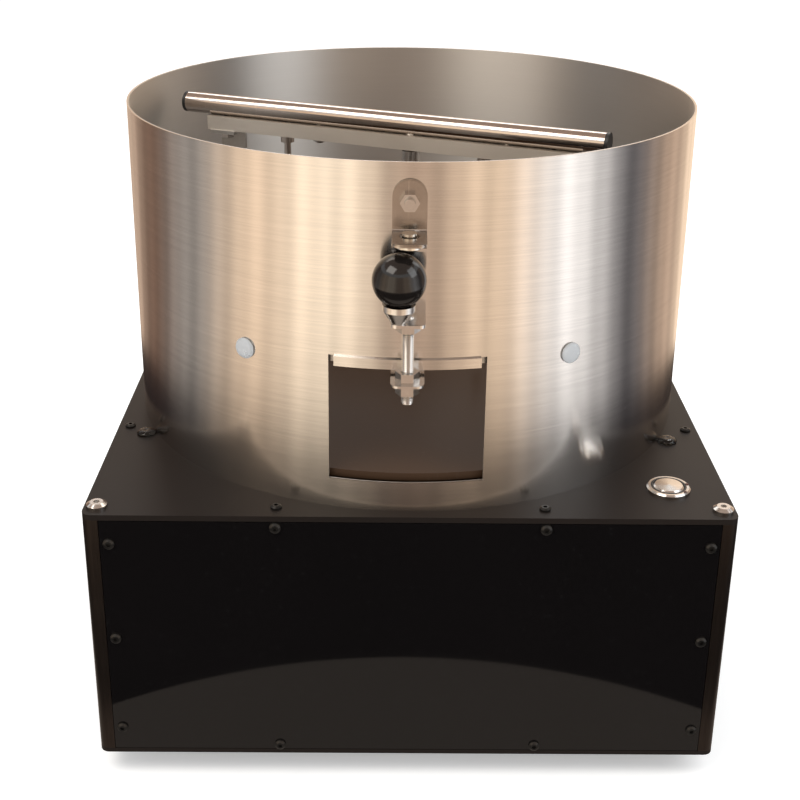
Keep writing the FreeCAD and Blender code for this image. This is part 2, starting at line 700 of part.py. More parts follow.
def strap_bracket(name, label, profile, wide, corners, holes):
    """A bracket bent from strap: its side profile, rounded corners and holes."""
    made = new_body(name)
    side = sketch_on(made, name + "_side", "YZ_Plane")
    polygon(side, profile)
    pad(made, side, wide, midplane=True)
    for radius, chosen in corners:
        round_edges(made, radius, chosen)
    for index, (role, x, y, diameter) in enumerate(holes):
        hole = sketch_on(made, f"{name}_hole{index}", role)
        circle(hole, x, y, diameter)
        cut = made.newObject("PartDesign::Pocket", f"{name}_drill{index}")
        cut.Profile = hole
        cut.Type = "ThroughAll"
        cut.Midplane = True
        doc.recompute()
    return keep(made, label, size("drum_turn"))


def level(height):
    return f"({DECK} + {height})"


def out(distance):
    return f"(0 - {DRUM_RADIUS} - ({distance}))"


THICK = "Sizes.strap_thick"
LEG_LEVEL = 144.0
TOP_LEG_OUT = 24.0
PLATE_TOP = 169.5
BOLT_LEVEL = 159.4
top_wide = 20.0
strap_bracket(
    "TopBracket", "top_bracket",
    [(out("0"), level(PLATE_TOP)), (out(THICK), level(PLATE_TOP)), (out(THICK), level(f"{LEG_LEVEL} + {THICK}")),
     (out(str(TOP_LEG_OUT)), level(f"{LEG_LEVEL} + {THICK}")), (out(str(TOP_LEG_OUT)), level(str(LEG_LEVEL))),
     (out("0"), level(str(LEG_LEVEL)))],
    str(top_wide),
    [(9.0, lambda edge: len(edge.Vertexes) == 2 and abs(edge.CenterOfMass.z - deck - PLATE_TOP) < 0.01
      and abs(abs(edge.CenterOfMass.x) - top_wide / 2) < 0.01),
     (4.0, lambda edge: upright(edge) and abs(edge.CenterOfMass.y + drum_radius + TOP_LEG_OUT) < 0.01)],
    [("XZ_Plane", "0", level(str(BOLT_LEVEL)), "5.1"),
     ("XY_Plane", "0", out("Sizes.rod_out"), "8.8")])

BOLT_HEAD = 9.0
bolt_seat = vec(0, -math.sqrt(inner_radius ** 2 - (BOLT_HEAD / 2) ** 2), deck + BOLT_LEVEL)
bolt = button_screw(BOLT_HEAD, 2.4, 5.0, size("wall_thick") + size("strap_thick") + 4.0 + 3.0, bolt_seat, FRONT)
bolt_nut = nut(8.0, 4.0, 5.1, vec(0, -drum_radius - size("strap_thick"), deck + BOLT_LEVEL), FRONT)
solid("bracket_bolt", [bolt, bolt_nut], size("drum_turn"))

# Catch magnet under the top bracket's leg
MAGNET_TALL = 3.5
magnet_y = rod_y
magnet = cylinder(6.2, MAGNET_TALL, vec(0, magnet_y, deck + LEG_LEVEL - MAGNET_TALL))
stud = cylinder(3.4, size("strap_thick") + 1.6, vec(0, magnet_y, deck + LEG_LEVEL))
solid("catch_magnet", [magnet.fuse(stud).removeSplitter()], size("drum_turn"))

# Carriage: an upright strap with a striker leg at its top and a leg for the knob and rod
MID_LEG_LEVEL = 105.0
CARRIAGE_BACK = 3.0
striker = f"{LEG_LEVEL - MAGNET_TALL - 0.4}"
strap_bracket(
    "Carriage", "carriage",
    [(out(str(CARRIAGE_BACK)), level(striker)), (out("11"), level(striker)),
     (out("11"), level(f"{striker} - {THICK}")), (out(f"{CARRIAGE_BACK} + {THICK}"), level(f"{striker} - {THICK}")),
     (out(f"{CARRIAGE_BACK} + {THICK}"), level(f"{MID_LEG_LEVEL} + {THICK}")),
     (out("21"), level(f"{MID_LEG_LEVEL} + {THICK}")), (out("21"), level(str(MID_LEG_LEVEL))),
     (out(str(CARRIAGE_BACK)), level(str(MID_LEG_LEVEL)))],
    "Sizes.strap_wide - 2",
    [(3.0, lambda edge: upright(edge) and edge.CenterOfMass.y < -drum_radius - 12)],
    [("XY_Plane", "0", out("Sizes.rod_out"), "Sizes.rod_dia + 2 * Sizes.running_gap")])

# Foot bracket: from the gate's face, out through the outlet under the hem
FOOT_LEG_LEVEL = 73.5
strap_bracket(
    "FootBracket", "foot_bracket",
    [(f"(0 - {inner} + {GATE_BACK})", level("92")), (f"(0 - {inner} + {GATE_BACK - 1.2})", level("92")),
     (f"(0 - {inner} + {GATE_BACK - 1.2})", level(f"{FOOT_LEG_LEVEL + 1.2}")),
     (out("17"), level(f"{FOOT_LEG_LEVEL + 1.2}")), (out("17"), level(str(FOOT_LEG_LEVEL))),
     (f"(0 - {inner} + {GATE_BACK})", level(str(FOOT_LEG_LEVEL)))],
    "Sizes.strap_wide - 2",
    [(4.0, lambda edge: upright(edge) and edge.CenterOfMass.y < -drum_radius - 12)],
    [("XY_Plane", "0", out("Sizes.rod_out"), "Sizes.rod_dia + 2 * Sizes.running_gap")])

# Lift rod and its nuts
ROD_LOW = 63.0
rod_low = deck + ROD_LOW
rod_top = deck + MID_LEG_LEVEL + size("strap_thick") + 0.8
lift_rod = new_body("LiftRod")
rod_section = sketch_on(lift_rod, "LiftRod_section", "XY_Plane", level(str(ROD_LOW)))
circle(rod_section, "0", out("Sizes.rod_out"), "Sizes.rod_dia")
pad(lift_rod, rod_section, f"{MID_LEG_LEVEL} + Sizes.strap_thick + 0.8 - {ROD_LOW}")
keep(lift_rod, "lift_rod", size("drum_turn"))
NUT_ACROSS = 10.0
NUT_TALL = 5.0
rod_nuts = []
for nut_low in (MID_LEG_LEVEL - NUT_TALL, FOOT_LEG_LEVEL + 1.2, FOOT_LEG_LEVEL - NUT_TALL):
    rod_nuts.append(nut(NUT_ACROSS, NUT_TALL, size("rod_dia") + 0.1, vec(0, rod_y, deck + nut_low)))
solid("rod_nuts", rod_nuts, size("drum_turn"))

# Ball knob and the cup under it
knob_radius = size("knob_dia") / 2
knob_centre = vec(-size("knob_side"), knob_y, deck + size("knob_level"))
FLAT_DROP = 11.3
ball = Part.makeSphere(knob_radius, knob_centre)
ball = ball.common(cylinder(knob_radius + 1, knob_radius + FLAT_DROP + 1, knob_centre - UP * FLAT_DROP))
solid("ball_knob", [ball], size("drum_turn"))
cup_top = knob_centre.z - FLAT_DROP
cup_low = deck + MID_LEG_LEVEL + size("strap_thick")
cup_base = vec(knob_centre.x, knob_centre.y, cup_low)
cup = Part.makeCone(3.4, 7.6, (cup_top - cup_low) * 0.7, cup_base, UP)
band = cylinder(7.6, (cup_top - cup_low) * 0.3, cup_base + UP * ((cup_top - cup_low) * 0.7))
solid("knob_cup", [cup.fuse(band).removeSplitter()], size("drum_turn"))

# Stirrer: shaft, lower bar, tube on top of it, paddles and stirring rods
arm_turn = size("arm_angle")
COUPLING_TOP = deck_under - 3.0
COUPLING_TALL = 26.0
shaft = new_body("StirrerShaft")
shaft_section = sketch_on(shaft, "StirrerShaft_profile", "XZ_Plane")
shaft_end = f"({DECK} + Sizes.shaft_level)"
shaft_foot = f"{COUPLING_TOP - COUPLING_TALL / 2}"
polygon(shaft_section, [
    ("0", shaft_foot), ("Sizes.shaft_dia / 2", shaft_foot), ("Sizes.shaft_dia / 2", f"{shaft_end} - 1"),
    ("Sizes.shaft_dia / 2 - 1", shaft_end), ("3", shaft_end), ("3", f"{shaft_end} + Sizes.bar_tall + 3"),
    ("0", f"{shaft_end} + Sizes.bar_tall + 3")])
revolve(shaft, shaft_section)
keep(shaft, "stirrer_shaft", arm_turn)

bar_left = inner_radius - 26.8
bar_right = inner_radius - 54.8
BAR_SCREWS = (-57.0, 57.0)
paddle_places = (36.8 - inner_radius, inner_radius - 70.8)
rod_places = (76.8 - inner_radius, 44.0)
bar_low = deck + size("shaft_level")
bar_high = bar_low + size("bar_tall")
bar = new_body("LowerBar")
bar_outline = sketch_on(bar, "LowerBar_outline", "XY_Plane", level("Sizes.shaft_level"))
bar_edge = "Sizes.bar_wide / 2"
polygon(bar_outline, [(f"{-bar_left}", f"0 - {bar_edge}"), (f"{bar_right}", f"0 - {bar_edge}"),
                      (f"{bar_right}", bar_edge), (f"{-bar_left}", bar_edge)])
pad(bar, bar_outline, "Sizes.bar_tall")
bar_holes = sketch_on(bar, "LowerBar_holes", "XY_Plane", level("Sizes.shaft_level"))
circle(bar_holes, "0", "0", "6.1")
for u in BAR_SCREWS + paddle_places + rod_places:
    circle(bar_holes, str(u), "0", "4.1")
cut_through(bar, bar_holes)
keep(bar, "lower_bar", arm_turn)

tube_axis = bar_high + size("tube_dia") / 2
tube_radius = size("tube_dia") / 2
along = vec(1, 0, 0)
start = vec(-arm_left, 0, tube_axis)
span = arm_left + arm_right
arm = tube(tube_radius, tube_radius - size("tube_wall"), span, start, along)
arm = arm.cut(cylinder(3.05, 4.0, vec(0, 0, bar_high - 1)))
for u in BAR_SCREWS:
    arm = arm.cut(cylinder(2.05, 4.0, vec(u, 0, bar_high - 1)))
solid("top_tube", [arm], arm_turn)
PLUG_LIP = 2.0
plugs = []
for x, way in ((-arm_left, -1), (arm_right, 1)):
    lip = cylinder(tube_radius, PLUG_LIP, vec(x, 0, tube_axis), along * way)
    stem = cylinder(tube_radius - size("tube_wall") - 0.05, 8.0, vec(x, 0, tube_axis), along * -way)
    plugs.append(lip.fuse(stem).removeSplitter())
solid("tube_plugs", plugs, arm_turn)
bar_screws = [button_screw(8.0, 2.2, 4.0, size("bar_tall") + 3.0, vec(u, 0, bar_low), UP) for u in BAR_SCREWS]

HANG_THICK = 2.0
HANG_WIDE = 16.0
BLADE_LONG = 44.0
BLADE_TALL = 26.0
BLADE_SKEW = 25.0
blade_low = pan_level + size("paddle_gap")
paddles, paddle_bolts = [], []
for u in paddle_places:
    flange = block(u - HANG_WIDE / 2, -7.0, bar_low - HANG_THICK, u + HANG_WIDE / 2, 9.0, bar_low)
    flange = flange.cut(cylinder(2.05, 6.0, vec(u, 0, bar_low - 4)))
    hanger = block(u - HANG_WIDE / 2, 7.0, blade_low + 4, u + HANG_WIDE / 2, 9.0, bar_low)
    blade = block(u - BLADE_LONG / 2, 7.0, blade_low, u + BLADE_LONG / 2, 9.0, blade_low + BLADE_TALL)
    blade.rotate(vec(u, 8.0, 0), UP, BLADE_SKEW if u > 0 else -BLADE_SKEW)
    paddles.append(flange.fuse(hanger).fuse(blade).removeSplitter())
    under = vec(u, 0, bar_low - HANG_THICK)
    paddle_bolts.append(cylinder(2.0, HANG_THICK + size("bar_tall"), under))
    paddle_bolts[-1] = paddle_bolts[-1].fuse(hexagon(7.0, 3.0, under - UP * 3.0)).removeSplitter()
solid("paddles", paddles, arm_turn)
solid("stirrer_screws", bar_screws + paddle_bolts, arm_turn)
rods = []
for u in rod_places:
    pin = cylinder(2.0, bar_high - 0.5 - (pan_level + 6.0), vec(u, 0, pan_level + 6.0))
    rods.append(pin.fuse(cylinder(4.0, 4.0, vec(u, 0, bar_low - 4.0))).removeSplitter())
solid("stirring_rods", rods, arm_turn)

# Drive under the deck: spacers, plate, gear motor and coupling
spacer_low = deck_under - size("spacer_tall")
PLATE_THICK = 3.0
PLATE_HALF = 42.0
spacers = []
for sx, sy in CORNERS:
    spot = vec(sx * SPACER_SPREAD, sy * SPACER_SPREAD, spacer_low)
    spacers.append(tube(4.5, TAB_SCREW / 2 + 0.05, size("spacer_tall"), spot))
motor_plate = block(-PLATE_HALF, -PLATE_HALF, spacer_low - PLATE_THICK, PLATE_HALF, PLATE_HALF, spacer_low)
motor_plate = motor_plate.cut(cylinder(12.0, 10.0, vec(0, 0, spacer_low - 5)))
plate_screws = []
screw_long = size("spacer_tall") + PLATE_THICK + size("deck_thick") + 5.0
for sx, sy in CORNERS:
    spot = vec(sx * SPACER_SPREAD, sy * SPACER_SPREAD, spacer_low - PLATE_THICK)
    motor_plate = motor_plate.cut(cylinder(TAB_SCREW / 2 + 0.05, 10.0, spot - UP))
    plate_screws.append(button_screw(7.0, 2.4, TAB_SCREW, screw_long, spot, UP))
    plate_screws.append(nut(7.0, 3.0, TAB_SCREW + 0.1, vec(spot.x, spot.y, deck)))
solid("motor_plate", [motor_plate, *spacers])
solid("deck_fixings", plate_screws + tab_screws + [switch_nut])
gear_top = spacer_low - PLATE_THICK
GEAR_TALL = 30.0
MOTOR_TALL = 52.0
gear_box = cylinder(25.0, GEAR_TALL, vec(0, 0, gear_top - GEAR_TALL))
gear_box = gear_box.fuse(cylinder(11.5, 4.0, vec(0, 0, gear_top)))
motor_can = cylinder(size("motor_dia") / 2, MOTOR_TALL, vec(0, 0, gear_top - GEAR_TALL - MOTOR_TALL))
gear_shaft_bore = 4.05
motor = gear_box.fuse(motor_can).removeSplitter().cut(cylinder(gear_shaft_bore, 26.0, vec(0, 0, gear_top - 20.0)))
solid("gear_motor", [motor])
coupling_low = COUPLING_TOP - COUPLING_TALL
drive_shaft = cylinder(4.0, coupling_low + COUPLING_TALL / 2 - (gear_top - 19.0), vec(0, 0, gear_top - 19.0))
solid("drive_shaft", [drive_shaft], arm_turn)
coupling = cylinder(11.0, COUPLING_TALL, vec(0, 0, coupling_low))
coupling = coupling.cut(cylinder(4.05, COUPLING_TALL / 2, vec(0, 0, coupling_low)))
coupling = coupling.cut(cylinder(size("shaft_dia") / 2 + 0.05, COUPLING_TALL / 2,
                                 vec(0, 0, coupling_low + COUPLING_TALL / 2)))
for grub_level in (6.0, 20.0):
    coupling = coupling.cut(cylinder(2.05, 14.0, vec(0, 0, coupling_low + grub_level), FRONT))
grubs = []
for grub_level, reach in ((6.0, 4.0), (20.0, size("shaft_dia") / 2)):
    grubs.append(cylinder(2.0, 10.5 - reach, vec(0, -reach, coupling_low + grub_level), FRONT))
solid("shaft_coupling", [coupling, *grubs], arm_turn)

# Heating under the pan: insulation board, heater ring, its clips and the thermostat
insulation_radius = skirt - 8.0
insulation = tube(insulation_radius, 60.0, 5.0, vec(0, 0, deck))
solid("insulation_board", [insulation])
heater_radius = inner_radius - 54.8
HEATER_THICK = 3.5
pan_under = pan_level - size("pan_thick")
heater_level = pan_under - HEATER_THICK
heater = Part.makeTorus(heater_radius, HEATER_THICK, vec(0, 0, heater_level), UP)
solid("heater_ring", [heater])
clips = []
clip_cut = Part.makeTorus(heater_radius, HEATER_THICK + 0.1, vec(0, 0, heater_level), UP)
for angle in (45.0, 135.0, 225.0, 315.0):
    clip = block(heater_radius - 9, -5, heater_level - HEATER_THICK - 1.2, heater_radius + 9, 5, pan_under)
    clip = clip.cut(clip_cut).cut(block(heater_radius - 9, -6, heater_level - HEATER_THICK - 2,
                                        heater_radius - 5.5, 6, pan_under - 1.5))
    clip = clip.cut(block(heater_radius + 5.5, -6, heater_level - HEATER_THICK - 2,
                          heater_radius + 9, 6, pan_under - 1.5))
    clip.rotate(vec(0, 0, 0), UP, angle)
    clips.append(clip)
thermostat = cylinder(9.0, 7.0, vec(42, 42, pan_under - 7.0)).fuse(
    block(38, 30, pan_under - 1.0, 46, 54, pan_under))
solid("heater_fittings", [*clips, thermostat.removeSplitter()])

# Cooling fan on the rear panel: frame, rotor and guard
fan_half = size("fan_side") / 2
fan_front = half - size("panel_thick") - size("fan_thick")
fan_back = half - size("panel_thick")
fan_centre = vec(fan_x, fan_front, fan_level)
FAN_PIN = 2.0
frame_box = block(fan_x - fan_half, fan_front, fan_level - fan_half, fan_x + fan_half, fan_back,
                  fan_level + fan_half)
fan_frame = frame_box.cut(cylinder(fan_half - 2.0, 40.0, fan_centre - BACK * 5, BACK))
hub_plate = cylinder(16.0, 3.0, fan_centre, BACK)
spokes = block(fan_x - fan_half + 1, fan_front, fan_level - 2, fan_x + fan_half - 1, fan_front + 3, fan_level + 2)
spokes = spokes.fuse(block(fan_x - 2, fan_front, fan_level - fan_half + 1, fan_x + 2, fan_front + 3,
                           fan_level + fan_half - 1))
fan_frame = fan_frame.fuse(hub_plate).fuse(spokes).fuse(cylinder(FAN_PIN, 18.0, fan_centre, BACK))
for sx, sz in CORNERS:
    corner = fan_centre + vec(sx * fan_screws_out, -1, sz * fan_screws_out)
    fan_frame = fan_frame.cut(cylinder(1.6, 40.0, corner, BACK))
solid("fan_frame", [fan_frame.removeSplitter()])
rotor_start = fan_centre + BACK * 4.0
rotor = cylinder(15.0, 17.0, rotor_start, BACK)
BLADES = 7
for index in range(BLADES):
    blade = block(fan_x + 13.0, rotor_start.y, fan_level - 0.9, fan_x + fan_half - 3.5, rotor_start.y + 16.0,
                  fan_level + 0.9)
    blade.rotate(vec(fan_x, rotor_start.y + 8.0, fan_level), vec(1, 0, 0), 38.0)
    blade.rotate(vec(fan_x, 0, fan_level), BACK, index * 360.0 / BLADES)
    rotor = rotor.fuse(blade)
rotor = rotor.common(cylinder(fan_half - 3.2, 17.0, rotor_start, BACK))
rotor = rotor.cut(cylinder(FAN_PIN + size("running_gap"), 15.0, rotor_start, BACK))
solid("fan_rotor", [rotor.removeSplitter()])
guard_start = half + GUARD_DEPTH - GUARD_WIRE
guard_spot = vec(fan_x, guard_start, fan_level)
guard = cylinder(7.0, GUARD_WIRE, guard_spot, BACK)
for ring_radius in (13.5, 21.0, 28.5, 36.0):
    guard = guard.fuse(tube(ring_radius, ring_radius - 2.0, GUARD_WIRE, guard_spot, BACK))
eye_out = fan_screws_out * math.sqrt(2)
EYE_RADIUS = 4.0
for index in range(4):
    arm_bar = block(fan_x + 6.0, guard_start, fan_level - 1.2, fan_x + 37.5, guard_start + GUARD_WIRE,
                    fan_level + 1.2)
    leg = block(fan_x + 35.0, half, fan_level - 1.2, fan_x + 37.5, guard_start + GUARD_WIRE, fan_level + 1.2)
    foot = block(fan_x + 35.0, half, fan_level - 3.0, fan_x + eye_out, half + EYE_TALL, fan_level + 3.0)
    eye = cylinder(EYE_RADIUS, EYE_TALL, vec(fan_x + eye_out, half, fan_level), BACK)
    spoke = arm_bar.fuse(leg).fuse(foot).fuse(eye)
    spoke = spoke.cut(cylinder(1.7, EYE_TALL, vec(fan_x + eye_out, half, fan_level), BACK))
    spoke.rotate(vec(fan_x, 0, fan_level), BACK, 45 + 90 * index)
    guard = guard.fuse(spoke)
guard = guard.removeSplitter()
solid("fan_guard", [guard])
fan_screws = []
for sx, sz in CORNERS:
    seat = vec(fan_x + sx * fan_screws_out, half + EYE_TALL, fan_level + sz * fan_screws_out)
    fan_screws.append(button_screw(6.0, 1.8, 3.0, EYE_TALL + size("panel_thick") + 12.0, seat, FRONT))

# Mains inlet on the rear panel
INLET_DEPTH = 22.0
INLET_FLANGE = 2.5
wide, tall = size("inlet_wide"), size("inlet_tall")
inlet = block(inlet_x - wide / 2, half - INLET_DEPTH, inlet_level - tall / 2, inlet_x + wide / 2, half,
              inlet_level + tall / 2)
flange = block(inlet_x - 25, half, inlet_level - 14, inlet_x + 25, half + INLET_FLANGE, inlet_level + 14)
cavity = block(inlet_x - wide / 2 + 1.5, half - INLET_DEPTH + 3, inlet_level - tall / 2 + 1.5,
               inlet_x + wide / 2 - 1.5, half + 5, inlet_level + tall / 2 - 1.5)
inlet = inlet.fuse(flange).cut(cavity)
inlet_screws = []
for sign in (-1, 1):
    seat = vec(inlet_x + sign * INLET_EARS, half + INLET_FLANGE, inlet_level)
    inlet = inlet.cut(cylinder(1.6, 10.0, seat - BACK * 5, BACK))
    inlet_screws.append(button_screw(5.7, 1.65, 3.0, INLET_FLANGE + size("panel_thick") + 3.0, seat, FRONT))
solid("rear_fixings", fan_screws + inlet_screws)
pins = []
for x, z in ((0, 3.5), (-6.5, -2.0), (6.5, -2.0)):
    base = vec(inlet_x + x, half - INLET_DEPTH + 3, inlet_level + z)
    pins.append(block(base.x - 1, base.y, base.z - 2, base.x + 1, base.y + 13, base.z + 2))
solid("mains_inlet", [inlet.removeSplitter(), *pins])

# Control board and power supply on the floor
STANDOFF = 6.0
board_x = half - 102.5
board_top = floor_top + STANDOFF + 1.6
board = block(board_x, -60, floor_top + STANDOFF, board_x + 70, 20, board_top)
for x0, y0, x1, y1, tall_by in ((6, -52, 36, -24, 18), (44, -52, 64, -32, 12), (10, -10, 60, 4, 10)):
    board = board.fuse(block(board_x + x0, y0, board_top, board_x + x1, y1, board_top + tall_by))
standoffs = []
for x, y in ((4, -56), (66, -56), (4, 16), (66, 16)):
    standoffs.append(cylinder(3.0, STANDOFF, vec(board_x + x, y, floor_top)))
solid("control_board", [board.removeSplitter(), *standoffs])
supply_x = 27.5 - half
solid("power_supply", [block(supply_x, -70, floor_top, supply_x + 60, 40, floor_top + 34)])

# Where the wall, pan and deck have holes for other pieces
bolt_hole = sketch_on(wall, "DrumWall_bolt", "XZ_Plane")
circle(bolt_hole, "0", level(str(BOLT_LEVEL)), "5.1")
bolt_cut = wall.newObject("PartDesign::Pocket", "DrumWall_bolt_hole")
bolt_cut.Profile = bolt_hole
bolt_cut.Type = "ThroughAll"
bolt_cut.Reversed = True
doc.recompute()

# Check everything, then write each sub-part
doc.recompute()
for item in doc.Objects:
    if "Invalid" in item.State or "Error" in item.State:
        raise RuntimeError(f"{item.Name} failed")
os.makedirs("parts", exist_ok=True)
labels = [node.Label for node in nodes]
if len(set(labels)) != len(labels):
    raise RuntimeError("two sub-parts share a label")
for node in nodes:
    if node.Shape.isNull() or not node.Shape.isValid():
        raise RuntimeError(f"{node.Label} has no valid shape")
    node.Shape.exportStep(f"parts/{node.Label}.step")
print(len(nodes), "sub-parts, axis at y =", round(axis_shift, 4))
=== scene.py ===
"""Studio scene for a countertop stirred bean roaster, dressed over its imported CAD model."""
import json
import logging
import math
from dataclasses import dataclass, field
from enum import Enum
from typing import Callable, Iterable

import bmesh
import bpy
from mathutils import Matrix, Vector


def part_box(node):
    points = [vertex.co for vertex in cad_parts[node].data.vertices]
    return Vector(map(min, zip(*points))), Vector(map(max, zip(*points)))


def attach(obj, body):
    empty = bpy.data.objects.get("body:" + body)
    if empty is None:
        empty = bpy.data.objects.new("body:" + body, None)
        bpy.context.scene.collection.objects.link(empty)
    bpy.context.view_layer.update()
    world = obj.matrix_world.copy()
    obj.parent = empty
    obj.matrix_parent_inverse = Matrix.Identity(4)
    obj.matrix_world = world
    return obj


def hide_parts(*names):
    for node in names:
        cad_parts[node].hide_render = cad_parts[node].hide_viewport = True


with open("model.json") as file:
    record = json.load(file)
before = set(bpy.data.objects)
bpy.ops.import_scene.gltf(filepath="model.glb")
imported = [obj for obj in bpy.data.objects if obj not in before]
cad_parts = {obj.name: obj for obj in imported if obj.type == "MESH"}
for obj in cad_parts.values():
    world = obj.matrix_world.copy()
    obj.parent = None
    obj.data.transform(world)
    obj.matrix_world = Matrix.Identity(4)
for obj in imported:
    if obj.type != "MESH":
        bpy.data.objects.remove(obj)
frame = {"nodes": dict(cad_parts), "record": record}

LOG = logging.getLogger("bean_roaster")
Colour = tuple[float, float, float]
Socket = bpy.types.NodeSocket
MM = 0.001


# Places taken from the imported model

DRUM_AXIS_Y = 0.009449
DRUM_RADIUS = 0.156
DECK_TOP = 0.156
DRUM_TURN = math.radians(-1.0)


def on_drum(radius: float, degrees: float, level: float) -> Vector:
    """A point round the drum's axis.

    Args:
        radius: Distance from the axis, in metres.
        degrees: Angle from the front, positive to the viewer's right.
        level: Height above the ground, in metres.

    Returns:
        The point in the part's frame.
    """
    angle = math.radians(degrees) + DRUM_TURN
    return Vector((radius * math.sin(angle), DRUM_AXIS_Y - radius * math.cos(angle), level))


# Shader building

class Tree:
    """A thin wrapper that adds and links shader nodes by name."""

    MIX_FACTOR, MIX_FIRST, MIX_SECOND, MIX_RESULT = 0, 6, 7, 2

    def __init__(self, tree: bpy.types.NodeTree) -> None:
        """Keep the node tree to add to."""
        self.tree = tree

    def add(self, kind: str, **settings: object) -> bpy.types.Node:
        """Add one node.

        Args:
            kind: The node's type name.
            settings: Properties, or inputs by name with spaces as underscores.

        Returns:
            The new node.
        """
        node = self.tree.nodes.new(kind)
        for key, value in settings.items():
            if hasattr(node, key):
                setattr(node, key, value)
            else:
                node.inputs[key.replace("_", " ")].default_value = value
        return node

    def link(self, source: Socket, target: Socket) -> None:
        """Join an output to an input."""
        self.tree.links.new(source, target)

    def maths(self, operation: str, *values: object, clamp: bool = False) -> Socket:
        """Work out one number.

        Args:
            operation: The Math node's operation.
            values: Sockets or plain numbers.
            clamp: Whether the result stays between 0 and 1.

        Returns:
            The result's socket.
        """
        node = self.add("ShaderNodeMath", operation=operation, use_clamp=clamp)
        for slot, value in zip(node.inputs, values):
            if isinstance(value, Socket):
                self.link(value, slot)
            else:
                slot.default_value = value
        return node.outputs[0]

    def mix(self, factor: object, first: object, second: object,
            blend: str = "MIX") -> Socket:
        """Mix two colours.

        Args:
            factor: A socket or number from 0 to 1.
            first: The colour at 0, as a socket or a colour.
            second: The colour at 1, as a socket or a colour.
            blend: The blend type.

        Returns:
            The mixed colour's socket.
        """
        node = self.add("ShaderNodeMix", data_type="RGBA", blend_type=blend)
        rows = ((self.MIX_FACTOR, factor), (self.MIX_FIRST, first), (self.MIX_SECOND, second))
        for place, value in rows:
            slot = node.inputs[place]
            if isinstance(value, Socket):
                self.link(value, slot)
            elif isinstance(value, (int, float)):
                slot.default_value = value
            else:
                slot.default_value = (*value[:3], 1.0)
        return node.outputs[self.MIX_RESULT]

    def place(self) -> Socket:
        """The surface point in the object's own metres."""
        return self.add("ShaderNodeTexCoord").outputs["Object"]

    def stretched(self, scale: Iterable[float]) -> Socket:
        """The surface point with each axis multiplied by its own factor.

        Args:
            scale: The three factors.

        Returns:
            The stretched point's socket.
        """
        node = self.add("ShaderNodeMapping")
        node.inputs["Scale"].default_value = tuple(scale)
        self.link(self.place(), node.inputs["Vector"])
        return node.outputs[0]


